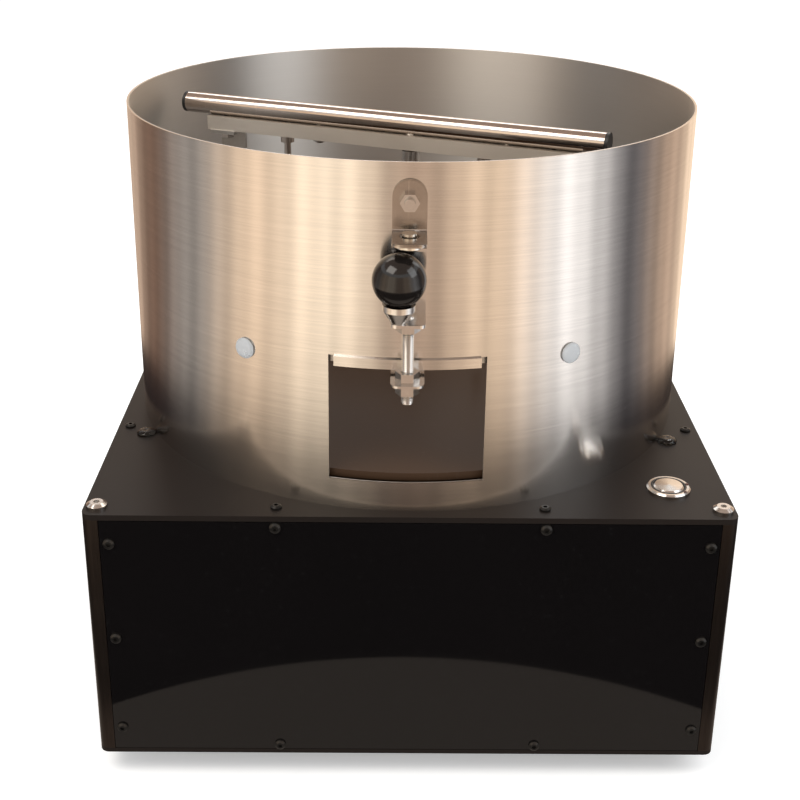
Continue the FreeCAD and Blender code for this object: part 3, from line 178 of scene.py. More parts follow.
class Effects:
    """Shader node groups that several finishes share, each built once."""

    COARSE_SCALE = 0.22
    FINE_SHARE = 0.7
    COARSE_SHARE = 0.3
    CELL_SCALE = 0.2
    SCRATCH_STRENGTH = 9.0
    SCRATCHES = ((0.35, (1.0, 60.0, 60.0)), (1.9, (50.0, 50.0, 1.0)))

    def __init__(self) -> None:
        """Build every group."""
        self.grain = self._grain()
        self.mottle = self._mottle()
        self.specks = self._specks()
        self.scuffs = self._scuffs()

    @staticmethod
    def _start(name: str, inputs: dict[str, float], outputs: Iterable[str]) -> tuple:
        """Begin a group.

        Args:
            name: The group's name.
            inputs: Number inputs and their default values.
            outputs: Names of its number outputs.

        Returns:
            The group, its tree wrapper, its input node and its output node.
        """
        group = bpy.data.node_groups.new(name, "ShaderNodeTree")
        for label, value in inputs.items():
            kind = "NodeSocketVector" if label == "Vector" else "NodeSocketFloat"
            made = group.interface.new_socket(name=label, in_out="INPUT", socket_type=kind)
            if label != "Vector":
                made.default_value = value
        for label in outputs:
            group.interface.new_socket(name=label, in_out="OUTPUT", socket_type="NodeSocketFloat")
        tree = Tree(group)
        return group, tree, tree.add("NodeGroupInput"), tree.add("NodeGroupOutput")

    def _grain(self) -> bpy.types.NodeTree:
        """Brush lines: fine and coarse streaks, from a vector already stretched along them.

        Returns:
            The group, with the output Lines.
        """
        group, tree, given, result = self._start(
            "BrushGrain", {"Vector": 0.0, "Scale": 60.0}, ("Lines",))
        fine = tree.add("ShaderNodeTexNoise", Detail=3.0, Roughness=0.65)
        coarse = tree.add("ShaderNodeTexNoise", Detail=2.0, Roughness=0.5)
        for node, factor in ((fine, 1.0), (coarse, self.COARSE_SCALE)):
            tree.link(given.outputs["Vector"], node.inputs["Vector"])
            tree.link(tree.maths("MULTIPLY", given.outputs["Scale"], factor), node.inputs["Scale"])
        lines = tree.maths("ADD", tree.maths("MULTIPLY", fine.outputs["Fac"], self.FINE_SHARE),
                           tree.maths("MULTIPLY", coarse.outputs["Fac"], self.COARSE_SHARE))
        tree.link(lines, result.inputs["Lines"])
        return group

    def _mottle(self) -> bpy.types.NodeTree:
        """Slow uneven patches, such as handling haze.

        Returns:
            The group, with outputs Soft and Sharp.
        """
        group, tree, given, result = self._start(
            "Mottle", {"Vector": 0.0, "Scale": 12.0, "Contrast": 2.0}, ("Soft", "Sharp"))
        noise = tree.add("ShaderNodeTexNoise", Detail=4.0, Roughness=0.55)
        tree.link(given.outputs["Vector"], noise.inputs["Vector"])
        tree.link(given.outputs["Scale"], noise.inputs["Scale"])
        tree.link(noise.outputs["Fac"], result.inputs["Soft"])
        centred = tree.maths("SUBTRACT", noise.outputs["Fac"], 0.5)
        strong = tree.maths("MULTIPLY", centred, given.outputs["Contrast"])
        tree.link(tree.maths("ADD", strong, 0.5, clamp=True), result.inputs["Sharp"])
        return group

    def _specks(self) -> bpy.types.NodeTree:
        """Tiny scattered dots, such as powder-coat texture or dust.

        Returns:
            The group, with outputs Texture and Dots.
        """
        group, tree, given, result = self._start(
            "Specks", {"Vector": 0.0, "Scale": 900.0, "Size": 0.12}, ("Texture", "Dots"))
        noise = tree.add("ShaderNodeTexNoise", Detail=2.0, Roughness=0.6)
        cells = tree.add("ShaderNodeTexVoronoi", feature="F1")
        tree.link(given.outputs["Vector"], noise.inputs["Vector"])
        tree.link(given.outputs["Vector"], cells.inputs["Vector"])
        tree.link(given.outputs["Scale"], noise.inputs["Scale"])
        tree.link(tree.maths("MULTIPLY", given.outputs["Scale"], self.CELL_SCALE), cells.inputs["Scale"])
        tree.link(noise.outputs["Fac"], result.inputs["Texture"])
        tree.link(tree.maths("LESS_THAN", cells.outputs["Distance"], given.outputs["Size"]),
                  result.inputs["Dots"])
        return group

    def _scuffs(self) -> bpy.types.NodeTree:
        """Straight hairline scratches in two directions.

        Returns:
            The group, with the output Marks.
        """
        group, tree, given, result = self._start(
            "Scuffs", {"Vector": 0.0, "Scale": 14.0, "Level": 0.66}, ("Marks",))
        marks = []
        for turn, stretch in self.SCRATCHES:
            bent = tree.add("ShaderNodeMapping")
            bent.inputs["Rotation"].default_value = (turn, turn * 0.6, turn * 1.3)
            bent.inputs["Scale"].default_value = stretch
            tree.link(given.outputs["Vector"], bent.inputs["Vector"])
            noise = tree.add("ShaderNodeTexNoise", Detail=1.0, Roughness=0.4)
            tree.link(bent.outputs[0], noise.inputs["Vector"])
            tree.link(given.outputs["Scale"], noise.inputs["Scale"])
            over = tree.maths("SUBTRACT", noise.outputs["Fac"], given.outputs["Level"])
            marks.append(tree.maths("MULTIPLY", over, self.SCRATCH_STRENGTH, clamp=True))
        tree.link(tree.maths("MAXIMUM", marks[0], marks[1]), result.inputs["Marks"])
        return group


@dataclass
class Work:
    """A material in the making, with its colour so far and its heights and their depths in metres."""

    tree: Tree
    shader: bpy.types.Node
    effects: Effects
    colour: Socket | None = None
    heights: list = field(default_factory=list)

    def effect(self, group: bpy.types.NodeTree, scale: float,
               place: Socket | None = None) -> bpy.types.Node:
        """Use one of the shared effects.

        Args:
            group: The effect's node group.
            scale: Its scale.
            place: Its vector, or none for the plain surface point.

        Returns:
            The group's node.
        """
        node = self.tree.add("ShaderNodeGroup", node_tree=group)
        node.inputs["Scale"].default_value = scale
        self.tree.link(place or self.tree.place(), node.inputs["Vector"])
        return node


@dataclass(frozen=True)
class Finish:
    """A surface finish that becomes one material.

    The grain runs along the axes whose stretch is small. Plain values sit on the shader itself.
    """

    name: str
    colour: Colour
    rough: float
    metal: float = 0.0
    second: Colour | None = None
    patch_scale: float = 14.0
    rough_swing: float = 0.06
    stretch: Colour = (1.0, 1.0, 1.0)
    grain_scale: float = 0.0
    grain_height: float = 0.0
    grain_tint: float = 0.0
    speck_scale: float = 0.0
    speck_height: float = 0.0
    dust: float = 0.0
    scuff: float = 0.0
    scuff_scale: float = 14.0
    ior: float = 1.5
    specular: float = 0.5
    glass: float = 0.0
    anisotropic: float = 0.0
    inner_radius: float = 0.0
    inner_rough: float = 0.5
    inner_colour: Colour = (0.5, 0.5, 0.5)
    wave: float = 0.0
    wave_scale: float = 30.0

    GRAIN_ROTATION = 0.25
    LINE_CONTRAST = 4.0
    LINE_SHARE = 0.6
    INNER_SHARE = 0.75

    def build(self, effects: Effects) -> bpy.types.Material:
        """Make the material.

        Args:
            effects: The shared node groups.

        Returns:
            The new material.
        """
        material = bpy.data.materials.new(self.name)
        material.use_nodes = True
        tree = Tree(material.node_tree)
        shader = material.node_tree.nodes["Principled BSDF"]
        shader.inputs["Metallic"].default_value = self.metal
        shader.inputs["IOR"].default_value = self.ior
        shader.inputs["Specular IOR Level"].default_value = self.specular
        shader.inputs["Transmission Weight"].default_value = self.glass
        if self.anisotropic:
            shader.inputs["Anisotropic"].default_value = self.anisotropic
            shader.inputs["Anisotropic Rotation"].default_value = self.GRAIN_ROTATION
            tangent = tree.add("ShaderNodeTangent", direction_type="RADIAL", axis="Z")
            tree.link(tangent.outputs[0], shader.inputs["Tangent"])
        work = Work(tree, shader, effects)
        for step in (self._patches, self._lines, self._dots, self._marks, self._inside, self._waves):
            step(work)
        tree.link(work.colour, shader.inputs["Base Color"])
        self._bump(work)
        return material

    def _paler(self, gain: float, extra: float) -> Colour:
        """The finish's own colour, brightened.

        Args:
            gain: Factor on each part of the colour.
            extra: What is added after that.

        Returns:
            The paler colour.
        """
        return tuple(min(1.0, part * gain + extra) for part in self.colour)

    def _patches(self, work: Work) -> None:
        """Vary colour and roughness slowly over the surface.

        Args:
            work: The material in the making.
        """
        tree = work.tree
        patch = work.effect(work.effects.mottle, self.patch_scale)
        second = self.second or self._paler(1.18, 0.002)
        work.colour = tree.mix(patch.outputs["Soft"], self.colour, second)
        centred = tree.maths("SUBTRACT", patch.outputs["Sharp"], 0.5)
        swing = tree.maths("MULTIPLY", centred, self.rough_swing)
        tree.link(tree.maths("ADD", swing, self.rough, clamp=True), work.shader.inputs["Roughness"])

    def _lines(self, work: Work) -> None:
        """Add brush lines where the finish has them.

        Args:
            work: The material in the making.
        """
        if not self.grain_scale:
            return
        tree = work.tree
        grain = work.effect(work.effects.grain, self.grain_scale, tree.stretched(self.stretch))
        work.heights.append((grain.outputs["Lines"], self.grain_height))
        darker = tuple(part * (1.0 - self.grain_tint) for part in self.colour)
        centred = tree.maths("SUBTRACT", grain.outputs["Lines"], 0.5)
        strong = tree.maths("MULTIPLY", centred, self.LINE_CONTRAST)
        strength = tree.maths("ADD", strong, 0.5, clamp=True)
        work.colour = tree.mix(strength, tree.mix(self.LINE_SHARE, work.colour, darker), work.colour)

    def _dots(self, work: Work) -> None:
        """Add a fine texture and dust where the finish has them.

        Args:
            work: The material in the making.
        """
        if not self.speck_scale:
            return
        specks = work.effect(work.effects.specks, self.speck_scale)
        work.heights.append((specks.outputs["Texture"], self.speck_height))
        dots = work.tree.maths("MULTIPLY", specks.outputs["Dots"], self.dust)
        work.colour = work.tree.mix(dots, work.colour, self._paler(1.6, 0.02))

    def _marks(self, work: Work) -> None:
        """Add light scratches where the finish has them.

        Args:
            work: The material in the making.
        """
        if not self.scuff:
            return
        marks = work.effect(work.effects.scuffs, self.scuff_scale)
        scratches = work.tree.maths("MULTIPLY", marks.outputs["Marks"], self.scuff)
        work.colour = work.tree.mix(scratches, work.colour, self._paler(1.35, 0.02))

    def _inside(self, work: Work) -> None:
        """Make the inside of a round wall duller than its outside.

        Args:
            work: The material in the making.
        """
        if not self.inner_radius:
            return
        tree, rough = work.tree, work.shader.inputs["Roughness"]
        flat = tree.add("ShaderNodeMapping")
        flat.inputs["Location"].default_value = (0.0, -DRUM_AXIS_Y, 0.0)
        flat.inputs["Scale"].default_value = (1.0, 1.0, 0.0)
        tree.link(tree.place(), flat.inputs["Vector"])
        reach = tree.add("ShaderNodeVectorMath", operation="LENGTH")
        tree.link(flat.outputs[0], reach.inputs[0])
        inside = tree.maths("LESS_THAN", reach.outputs["Value"], self.inner_radius)
        extra = tree.maths("MULTIPLY", inside, self.inner_rough - self.rough)
        tree.link(tree.maths("ADD", rough.links[0].from_socket, extra, clamp=True), rough)
        duller = tree.mix(self.INNER_SHARE, work.colour, self.inner_colour)
        work.colour = tree.mix(inside, work.colour, duller)

    def _waves(self, work: Work) -> None:
        """Add the slow unevenness of rolled or bent sheet.

        Args:
            work: The material in the making.
        """
        if not self.wave:
            return
        noise = work.tree.add("ShaderNodeTexNoise", Scale=self.wave_scale, Detail=1.0, Roughness=0.4)
        work.tree.link(work.tree.place(), noise.inputs["Vector"])
        work.heights.append((noise.outputs["Fac"], self.wave))

    def _bump(self, work: Work) -> None:
        """Turn the heights into the shader's normal.

        Args:
            work: The material in the making.
        """
        before = None
        for height, depth in work.heights:
            bump = work.tree.add("ShaderNodeBump", Strength=1.0, Distance=depth)
            work.tree.link(height, bump.inputs["Height"])
            if before:
                work.tree.link(before, bump.inputs["Normal"])
            before = bump.outputs[0]
        if before:
            work.tree.link(before, work.shader.inputs["Normal"])


AROUND = (0.55, 0.55, 38.0)
ALONG_X = (1.0, 40.0, 40.0)
UPRIGHT = (40.0, 40.0, 1.0)


class Look(Enum):
    """Every finish on the roaster."""

    BLACK_SATIN = Finish("black_satin_coat", (0.012, 0.009, 0.0075), 0.40, second=(0.018, 0.013, 0.011),
                         patch_scale=7.0, speck_scale=1500.0, speck_height=0.00002, dust=0.15,
                         specular=0.14)
    BLACK_GLOSS = Finish("black_gloss_acrylic", (0.004, 0.0035, 0.0035), 0.05,
                         second=(0.006, 0.005, 0.005), rough_swing=0.03, patch_scale=9.0,
                         speck_scale=700.0, speck_height=0.000001, dust=0.12)
    POST = Finish("post_dark_anodised", (0.041, 0.030, 0.024), 0.30, metal=0.85,
                  second=(0.065, 0.050, 0.042), stretch=UPRIGHT, grain_scale=70.0,
                  grain_height=0.00001, grain_tint=0.25)
    SCREW_BLACK = Finish("screw_black_oxide", (0.018, 0.017, 0.016), 0.32, metal=0.6,
                         speck_scale=2500.0, speck_height=0.00001, dust=0.1)
    SCREW_STEEL = Finish("screw_bright_zinc", (0.66, 0.64, 0.62), 0.18, metal=1.0,
                         second=(0.56, 0.54, 0.52), patch_scale=160.0, speck_scale=3000.0,
                         speck_height=0.000006, dust=0.12)
    FOOT = Finish("foot_grey_rubber", (0.34, 0.33, 0.32), 0.62, second=(0.42, 0.41, 0.40),
                  speck_scale=1400.0, speck_height=0.00003, dust=0.3)
    DRUM = Finish("stainless_brushed_round", (0.66, 0.63, 0.60), 0.165, metal=1.0,
                  second=(0.70, 0.67, 0.63), patch_scale=9.0, stretch=AROUND, grain_scale=48.0,
                  grain_height=0.000003, grain_tint=0.12, anisotropic=0.9, inner_radius=0.1554,
                  inner_rough=0.46, inner_colour=(0.61, 0.59, 0.56))
    BRIGHT = Finish("stainless_bright", (0.72, 0.70, 0.68), 0.16, metal=1.0, second=(0.52, 0.50, 0.48),
                    patch_scale=60.0, scuff=0.25, scuff_scale=22.0, speck_scale=2600.0,
                    speck_height=0.000004, dust=0.1, wave=0.0009, wave_scale=55.0)
    PALE_BAR = Finish("bar_pale_blasted", (0.74, 0.70, 0.64), 0.52, metal=1.0, second=(0.82, 0.78, 0.72),
                      patch_scale=40.0, speck_scale=1600.0, speck_height=0.00002, dust=0.1)
    POLISHED = Finish("stainless_polished_tube", (0.50, 0.44, 0.40), 0.12, metal=1.0,
                      second=(0.56, 0.50, 0.45), patch_scale=40.0, scuff=0.3, scuff_scale=20.0,
                      stretch=ALONG_X, grain_scale=40.0, grain_height=0.000002, grain_tint=0.08)
    BRACKET = Finish("stainless_bracket", (0.52, 0.48, 0.44), 0.22, metal=1.0, second=(0.30, 0.26, 0.23),
                     patch_scale=60.0, scuff=0.25, scuff_scale=22.0, wave=0.0009, wave_scale=55.0)
    MATT = Finish("stainless_matt", (0.56, 0.55, 0.53), 0.38, metal=1.0, second=(0.64, 0.62, 0.60),
                  patch_scale=30.0, stretch=ALONG_X, grain_scale=60.0, grain_height=0.00001,
                  grain_tint=0.2)
    PAN = Finish("pan_seasoned_steel", (0.045, 0.024, 0.013), 0.44, second=(0.078, 0.043, 0.024),
                 patch_scale=8.0, rough_swing=0.16, scuff=0.25, scuff_scale=10.0, speck_scale=900.0,
                 speck_height=0.00001, dust=0.25, specular=0.12)
    KNOB = Finish("knob_black_phenolic", (0.009, 0.007, 0.006), 0.13,
                  patch_scale=90.0, rough_swing=0.04, speck_scale=1200.0, speck_height=0.000001,
                  dust=0.12)
    CLEAR = Finish("bumper_clear_silicone", (0.92, 0.92, 0.92), 0.08, glass=1.0, ior=1.41,
                   second=(0.86, 0.87, 0.87), patch_scale=240.0, rough_swing=0.04)
    FROSTED = Finish("bumper_frosted_silicone", (0.86, 0.88, 0.90), 0.30, glass=0.45, ior=1.41,
                     second=(0.76, 0.78, 0.80), patch_scale=240.0, rough_swing=0.08)
    PLASTIC = Finish("moulded_black_plastic", (0.012, 0.012, 0.012), 0.45, second=(0.018, 0.018, 0.018),
                     speck_scale=1800.0, speck_height=0.00002, dust=0.2)
    LAMP = Finish("lamp_dark_red", (0.050, 0.006, 0.005), 0.22,
                  second=(0.080, 0.008, 0.006), patch_scale=400.0)
    MAGNET = Finish("magnet_nickel", (0.70, 0.68, 0.63), 0.16, metal=1.0, patch_scale=140.0,
                    scuff=0.3, scuff_scale=40.0)
    ALUMINIUM = Finish("aluminium_mill", (0.62, 0.62, 0.62), 0.36, metal=1.0, stretch=ALONG_X,
                       grain_scale=50.0, grain_height=0.00001, grain_tint=0.15)
    BRASS = Finish("bush_sintered_bronze", (0.55, 0.36, 0.15), 0.34, metal=1.0,
                   second=(0.46, 0.29, 0.12), patch_scale=90.0, speck_scale=2600.0,
                   speck_height=0.00002, dust=0.2)
    BOARD = Finish("board_green_mask", (0.015, 0.10, 0.035), 0.35, second=(0.03, 0.16, 0.06),
                   patch_scale=120.0, speck_scale=900.0, speck_height=0.00002, dust=0.5)
    WOOL = Finish("insulation_board", (0.62, 0.58, 0.50), 0.85, second=(0.50, 0.46, 0.38),
                  patch_scale=60.0, speck_scale=500.0, speck_height=0.0003, dust=0.4)


class Slot(Enum):
    """The record's material slots and the finish that each one gets."""

    black_satin = Look.BLACK_SATIN
    black_gloss_panel = Look.BLACK_GLOSS
    post_anodised = Look.POST
    screw_black = Look.SCREW_BLACK
    screw_steel = Look.SCREW_STEEL
    foot_rubber = Look.FOOT
    stainless_brushed = Look.DRUM
    stainless_bright = Look.BRIGHT
    stainless_matt = Look.MATT
    pan_dark = Look.PAN
    knob_black = Look.KNOB
    silicone_clear = Look.CLEAR
    plastic_black = Look.PLASTIC
    lamp_red = Look.LAMP
    magnet_nickel = Look.MAGNET
    aluminium_plain = Look.ALUMINIUM
    brass_bush = Look.BRASS
    board_green = Look.BOARD
    insulation = Look.WOOL


class Paintshop:
    """Builds each finish once and hands out its material."""

    SPECIAL = {"top_tube": Look.POLISHED, "stirring_rods": Look.POLISHED, "lower_bar": Look.PALE_BAR,
               "switch_cap": Look.BRIGHT}

    def __init__(self) -> None:
        """Build the shared groups and every material."""
        self.effects = Effects()
        self.made = {look: look.value.build(self.effects) for look in Look}

    def __getitem__(self, look: Look) -> bpy.types.Material:
        """The material of one finish."""
        return self.made[look]

    def dress_nodes(self) -> None:
        """Give every CAD node the finish of its slot in the record."""
        rows = {row["node"]: row["material_slot"] for row in frame["record"]["subparts"]}
        for name, node in frame["nodes"].items():
            look = self.SPECIAL.get(name, Slot[rows[name]].value)
            node.data.materials.clear()
            node.data.materials.append(self[look])
            LOG.info("node %s: %s", name, look.value.name)


# Mesh building

def placed(name: str, data: bpy.types.ID) -> bpy.types.Object:
    """Make an object of a mesh, lamp or camera and put it in the scene.

    Args:
        name: The object's name.
        data: Its mesh, lamp or camera.

    Returns:
        The object.
    """
    made = bpy.data.objects.new(name, data)
    bpy.context.scene.collection.objects.link(made)
    return made


def mesh_piece(name: str, points: list, faces: list, smooth: bool = True) -> bpy.types.Object:
    """Make a mesh object from points and faces.

    Args:
        name: The piece's name.
        points: Corner points in metres.
        faces: Index lists.
        smooth: Whether its faces are shaded smooth.

    Returns:
        The linked object.
    """
    mesh = bpy.data.meshes.new(name)
    mesh.from_pydata([tuple(point) for point in points], [], faces)
    mesh.validate()
    mesh.polygons.foreach_set("use_smooth", [smooth] * len(mesh.polygons))
    return placed(name, mesh)


@dataclass
class Piece:
    """A finished scene piece and how it joins the model."""

    name: str
    body: str
    slot: str
    look: Look
    replaced: tuple[str, ...] = ()

    def settle(self, made: bpy.types.Object, shop: Paintshop) -> bpy.types.Object:
        """Dress the object, tie it to its body and report it.

        Args:
            made: The mesh object.
            shop: Where the materials come from.

        Returns:
            The same object.
        """
        made.data.materials.append(shop[self.look])
        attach(made, self.body)
        if self.replaced:
            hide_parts(*self.replaced)
        LOG.info("piece %s on %s: %d faces", self.name, self.body, len(made.data.polygons))
        return made


def turned(profile: list[tuple[float, float]], frame_of: Matrix, steps: int = 48) -> tuple[list, list]:
    """Turn a profile about the local Z axis.

    Args:
        profile: Radius and height pairs; a radius of 0 closes the end.
        frame_of: Where the turned form stands.
        steps: Divisions round the axis.

    Returns:
        Its points and faces.
    """
    points, faces, rings = [], [], []
    for radius, level in profile:
        if radius == 0.0:
            rings.append([len(points)])
            points.append(frame_of @ Vector((0, 0, level)))
            continue
        rings.append(list(range(len(points), len(points) + steps)))
        for step in range(steps):
            angle = 2 * math.pi * step / steps
            points.append(frame_of @ Vector((radius * math.cos(angle), radius * math.sin(angle), level)))
    for low, high in zip(rings, rings[1:]):
        for step in range(steps):
            after = (step + 1) % steps
            if len(low) == 1:
                faces.append([low[0], high[after], high[step]])
            elif len(high) == 1:
                faces.append([low[step], low[after], high[0]])
            else:
                faces.append([low[step], low[after], high[after], high[step]])
    return points, faces


def facing(origin: Vector, direction: Vector) -> Matrix:
    """A frame whose Z axis looks along a direction.

    Args:
        origin: Where the frame stands.
        direction: Where its Z axis looks.

    Returns:
        The frame.
    """
    return Matrix.Translation(origin) @ direction.to_track_quat("Z", "Y").to_matrix().to_4x4()


def joined(parts: Iterable[tuple[list, list]]) -> tuple[list, list]:
    """Put several point and face lists together as one.

    Args:
        parts: Pairs of points and faces.

    Returns:
        All the points and all the faces.
    """
    points, faces = [], []
    for more_points, more_faces in parts:
        start = len(points)
        points += more_points
        faces += [[index + start for index in face] for face in more_faces]
    return points, faces


@dataclass
class Bumpers:
    """Clear domed stick-on bumpers, two on the drum's wall and two at its foot."""

    radius: float = 5.3 * MM
    tall: float = 2.5 * MM
    wall_level: float = DECK_TOP + 77.3 * MM
    wall_angle: float = 30.7
    deck_angle: float = 63.3
    dimple: float = 1.9 * MM
    dip: float = 0.32 * MM
    edge: float = 0.2 * MM
    back_share: float = 0.96
    side_share: float = 0.35
    crown: float = 2.2
    crown_steps: int = 10
    wall_seat: float = 0.12 * MM
    foot_gap: float = 0.1 * MM

    def profile(self, seat: float) -> list[tuple[float, float]]:
        """The dome's section, from its seat to its dimpled crown.

        Args:
            seat: How far the back reaches behind the origin.

        Returns:
            Radius and height pairs.
        """
        rows = [(0.0, seat), (self.radius * self.back_share, seat), (self.radius, seat + self.edge),
                (self.radius, self.tall * self.side_share)]
        for step in range(1, self.crown_steps + 1):
            share = step / self.crown_steps
            dip = self.dip * math.exp(-((1 - share) * self.radius / self.dimple) ** 2)
            rise = math.sqrt(1 - (1 - share) ** self.crown)
            level = self.tall * (self.side_share + (1 - self.side_share) * rise) - dip
            rows.append((self.radius * (1 - share), level))
        return rows

    def build(self, shop: Paintshop) -> None:
        """Make both pairs.

        Args:
            shop: Where the materials come from.
        """
        walls, decks = [], []
        for side in (-1, 1):
            root = on_drum(DRUM_RADIUS, side * self.wall_angle, self.wall_level)
            out = (root - Vector((0, DRUM_AXIS_Y, self.wall_level))).normalized()
            walls.append(turned(self.profile(self.wall_seat), facing(root, out)))
            spot = on_drum(DRUM_RADIUS + self.radius + self.foot_gap, side * self.deck_angle, DECK_TOP)
            decks.append(turned(self.profile(0.0), facing(spot, Vector((0, 0, 1)))))
        for name, parts, look in (("wall_bumper_domes", walls, Look.FROSTED),
                                  ("deck_bumper_domes", decks, Look.CLEAR)):
            node = name.replace("_domes", "s")
            made = mesh_piece(name, *joined(parts))
            Piece(name, "base", "silicone_clear", look, (node,)).settle(made, shop)


@dataclass
class LiftRod:
    """The gate's threaded rod."""

    pitch: float = 1.0 * MM
    depth: float = 0.55 * MM
    steps: int = 36
    rings_a_turn: int = 8
    chamfer: float = 0.7 * MM

    def build(self, shop: Paintshop) -> None:
        """Cut the thread as a ridged tube of the rod's own size.

        Args:
            shop: Where the materials come from.
        """
        low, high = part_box("lift_rod")
        centre = (low + high) / 2
        outer = (high.x - low.x) / 2
        rings = round((high.z - low.z) / self.pitch * self.rings_a_turn)
        points, faces = [], []
        for ring in range(rings + 1):
            level = low.z + (high.z - low.z) * ring / rings
            end = min(level - low.z, high.z - level)
            limit = outer - max(0.0, self.chamfer - end)
            for step in range(self.steps):
                angle = 2 * math.pi * step / self.steps
                phase = ((level - low.z) / self.pitch - step / self.steps) % 1.0
                ridge = abs(phase * 2 - 1)
                radius = min(limit, outer - self.depth * ridge)
                points.append(Vector((centre.x + radius * math.cos(angle),
                                      centre.y + radius * math.sin(angle), level)))
        for ring in range(rings):
            start = ring * self.steps
            for step in range(self.steps):
                after = (step + 1) % self.steps
                above = start + self.steps
                faces.append([start + step, start + after, above + after, above + step])
        last = rings * self.steps
        faces.append(list(range(self.steps - 1, -1, -1)))
        faces.append(list(range(last, last + self.steps)))
        Piece("lift_rod_thread", "gate", "screw_steel", Look.SCREW_STEEL, ("lift_rod",)).settle(
            mesh_piece("lift_rod_thread", points, faces), shop)


@dataclass
class TopBracket:
    """The bent catch bracket over the knob: a round-topped plate and a holed leg with soft edges."""

    wide: float = 16.0 * MM
    thick: float = 1.5 * MM
    top: float = DECK_TOP + 169.5 * MM
    leg_level: float = DECK_TOP + 144.0 * MM
    leg_out: float = 24.0 * MM
    bend: float = 2.4 * MM
    hole: float = 4.4 * MM
    hole_out: float = 10.0 * MM
    corner: float = 4.0 * MM
    soft: float = 0.4 * MM
    soft_steps: int = 2
    round_steps: int = 16
    corner_steps: int = 6
    hole_steps: int = 32
    bend_steps: int = 8
    soften_over: float = 1.2
    shade_sharp_over: float = 0.7

    def outline(self, flat_leg: float) -> list[tuple[float, float]]:
        """The flat blank, across and along, with its bend line at zero.

        Args:
            flat_leg: Length of the leg past the bend line.

        Returns:
            Its corners in order.
        """
        half, rise = self.wide / 2, self.top - self.leg_level - self.bend
        rows = []
        for step in range(self.round_steps + 1):
            angle = math.pi * step / self.round_steps
            rows.append((half * math.cos(angle), rise - half + half * math.sin(angle)))
        for side in (-1, 1):
            for step in range(self.corner_steps + 1):
                angle = math.pi / 2 * step / self.corner_steps
                turn = angle if side < 0 else math.pi / 2 - angle
                rows.append((side * (half - self.corner + self.corner * math.sin(math.pi / 2 - turn)),
                             -flat_leg + self.corner - self.corner * math.sin(turn)))
        return rows

    def bent(self, across: float, along: float, depth: float) -> Vector:
        """Where a point of the blank lies once the leg is folded out.

        Args:
            across: Distance to the viewer's right of the middle.
            along: Height over the bend line; below zero it folds outwards.
            depth: Distance off the plate's back face.

        Returns:
            The point in the part's frame, before the drum's turn.
        """
        back = -DRUM_RADIUS
        level = self.leg_level + self.bend
        if along >= 0:
            return Vector((across, back - depth, level + along))
        arc = self.bend * math.pi / 2
        if along > -arc:
            angle = -along / self.bend
            reach = self.bend - depth
            out = back - self.bend + reach * math.cos(angle)
            return Vector((across, out, level - reach * math.sin(angle)))
        return Vector((across, back - self.bend + arc + along, level - self.bend + depth))

    def build(self, shop: Paintshop) -> None:
        """Cut the blank, soften its edges and fold it.

        Args:
            shop: Where the materials come from.
        """
        flat_leg = self.leg_out - self.bend + self.bend * math.pi / 2
        sheet = bmesh.new()
        rim = [sheet.verts.new((x, y, 0)) for x, y in self.outline(flat_leg)]
        edges = [sheet.edges.new((a, b)) for a, b in zip(rim, rim[1:] + rim[:1])]
        middle = -(self.hole_out - self.bend + self.bend * math.pi / 2)
        ring = [sheet.verts.new((self.hole * math.cos(turn), middle + self.hole * math.sin(turn), 0))
                for turn in (2 * math.pi * step / self.hole_steps for step in range(self.hole_steps))]
        edges += [sheet.edges.new((a, b)) for a, b in zip(ring, ring[1:] + ring[:1])]
        bmesh.ops.triangle_fill(sheet, use_beauty=True, edges=edges)
        for step in range(self.bend_steps + 1):
            place = -self.bend * math.pi / 2 * step / self.bend_steps
            bmesh.ops.bisect_plane(sheet, geom=sheet.verts[:] + sheet.edges[:] + sheet.faces[:],
                                   plane_co=(0, place, 0), plane_no=(0, 1, 0))
        grown = bmesh.ops.extrude_face_region(sheet, geom=sheet.faces[:])
        for item in grown["geom"]:
            if isinstance(item, bmesh.types.BMVert):
                item.co.z = self.thick
        bmesh.ops.recalc_face_normals(sheet, faces=sheet.faces[:])
        sharp = [edge for edge in sheet.edges
                 if edge.is_manifold and edge.calc_face_angle() > self.soften_over]
        bmesh.ops.bevel(sheet, geom=sharp, offset=self.soft, segments=self.soft_steps, affect="EDGES")
        turn = Matrix.Translation((0, DRUM_AXIS_Y, 0)) @ Matrix.Rotation(DRUM_TURN, 4, "Z")
        for vert in sheet.verts:
            vert.co = turn @ self.bent(vert.co.x, vert.co.y, vert.co.z)
        bmesh.ops.recalc_face_normals(sheet, faces=sheet.faces[:])
        mesh = bpy.data.meshes.new("top_bracket_bent")
        sheet.to_mesh(mesh)
        sheet.free()
        mesh.set_sharp_from_angle(angle=self.shade_sharp_over)
        Piece("top_bracket_bent", "base", "stainless_bright", Look.BRACKET,
              ("top_bracket",)).settle(placed("top_bracket_bent", mesh), shop)


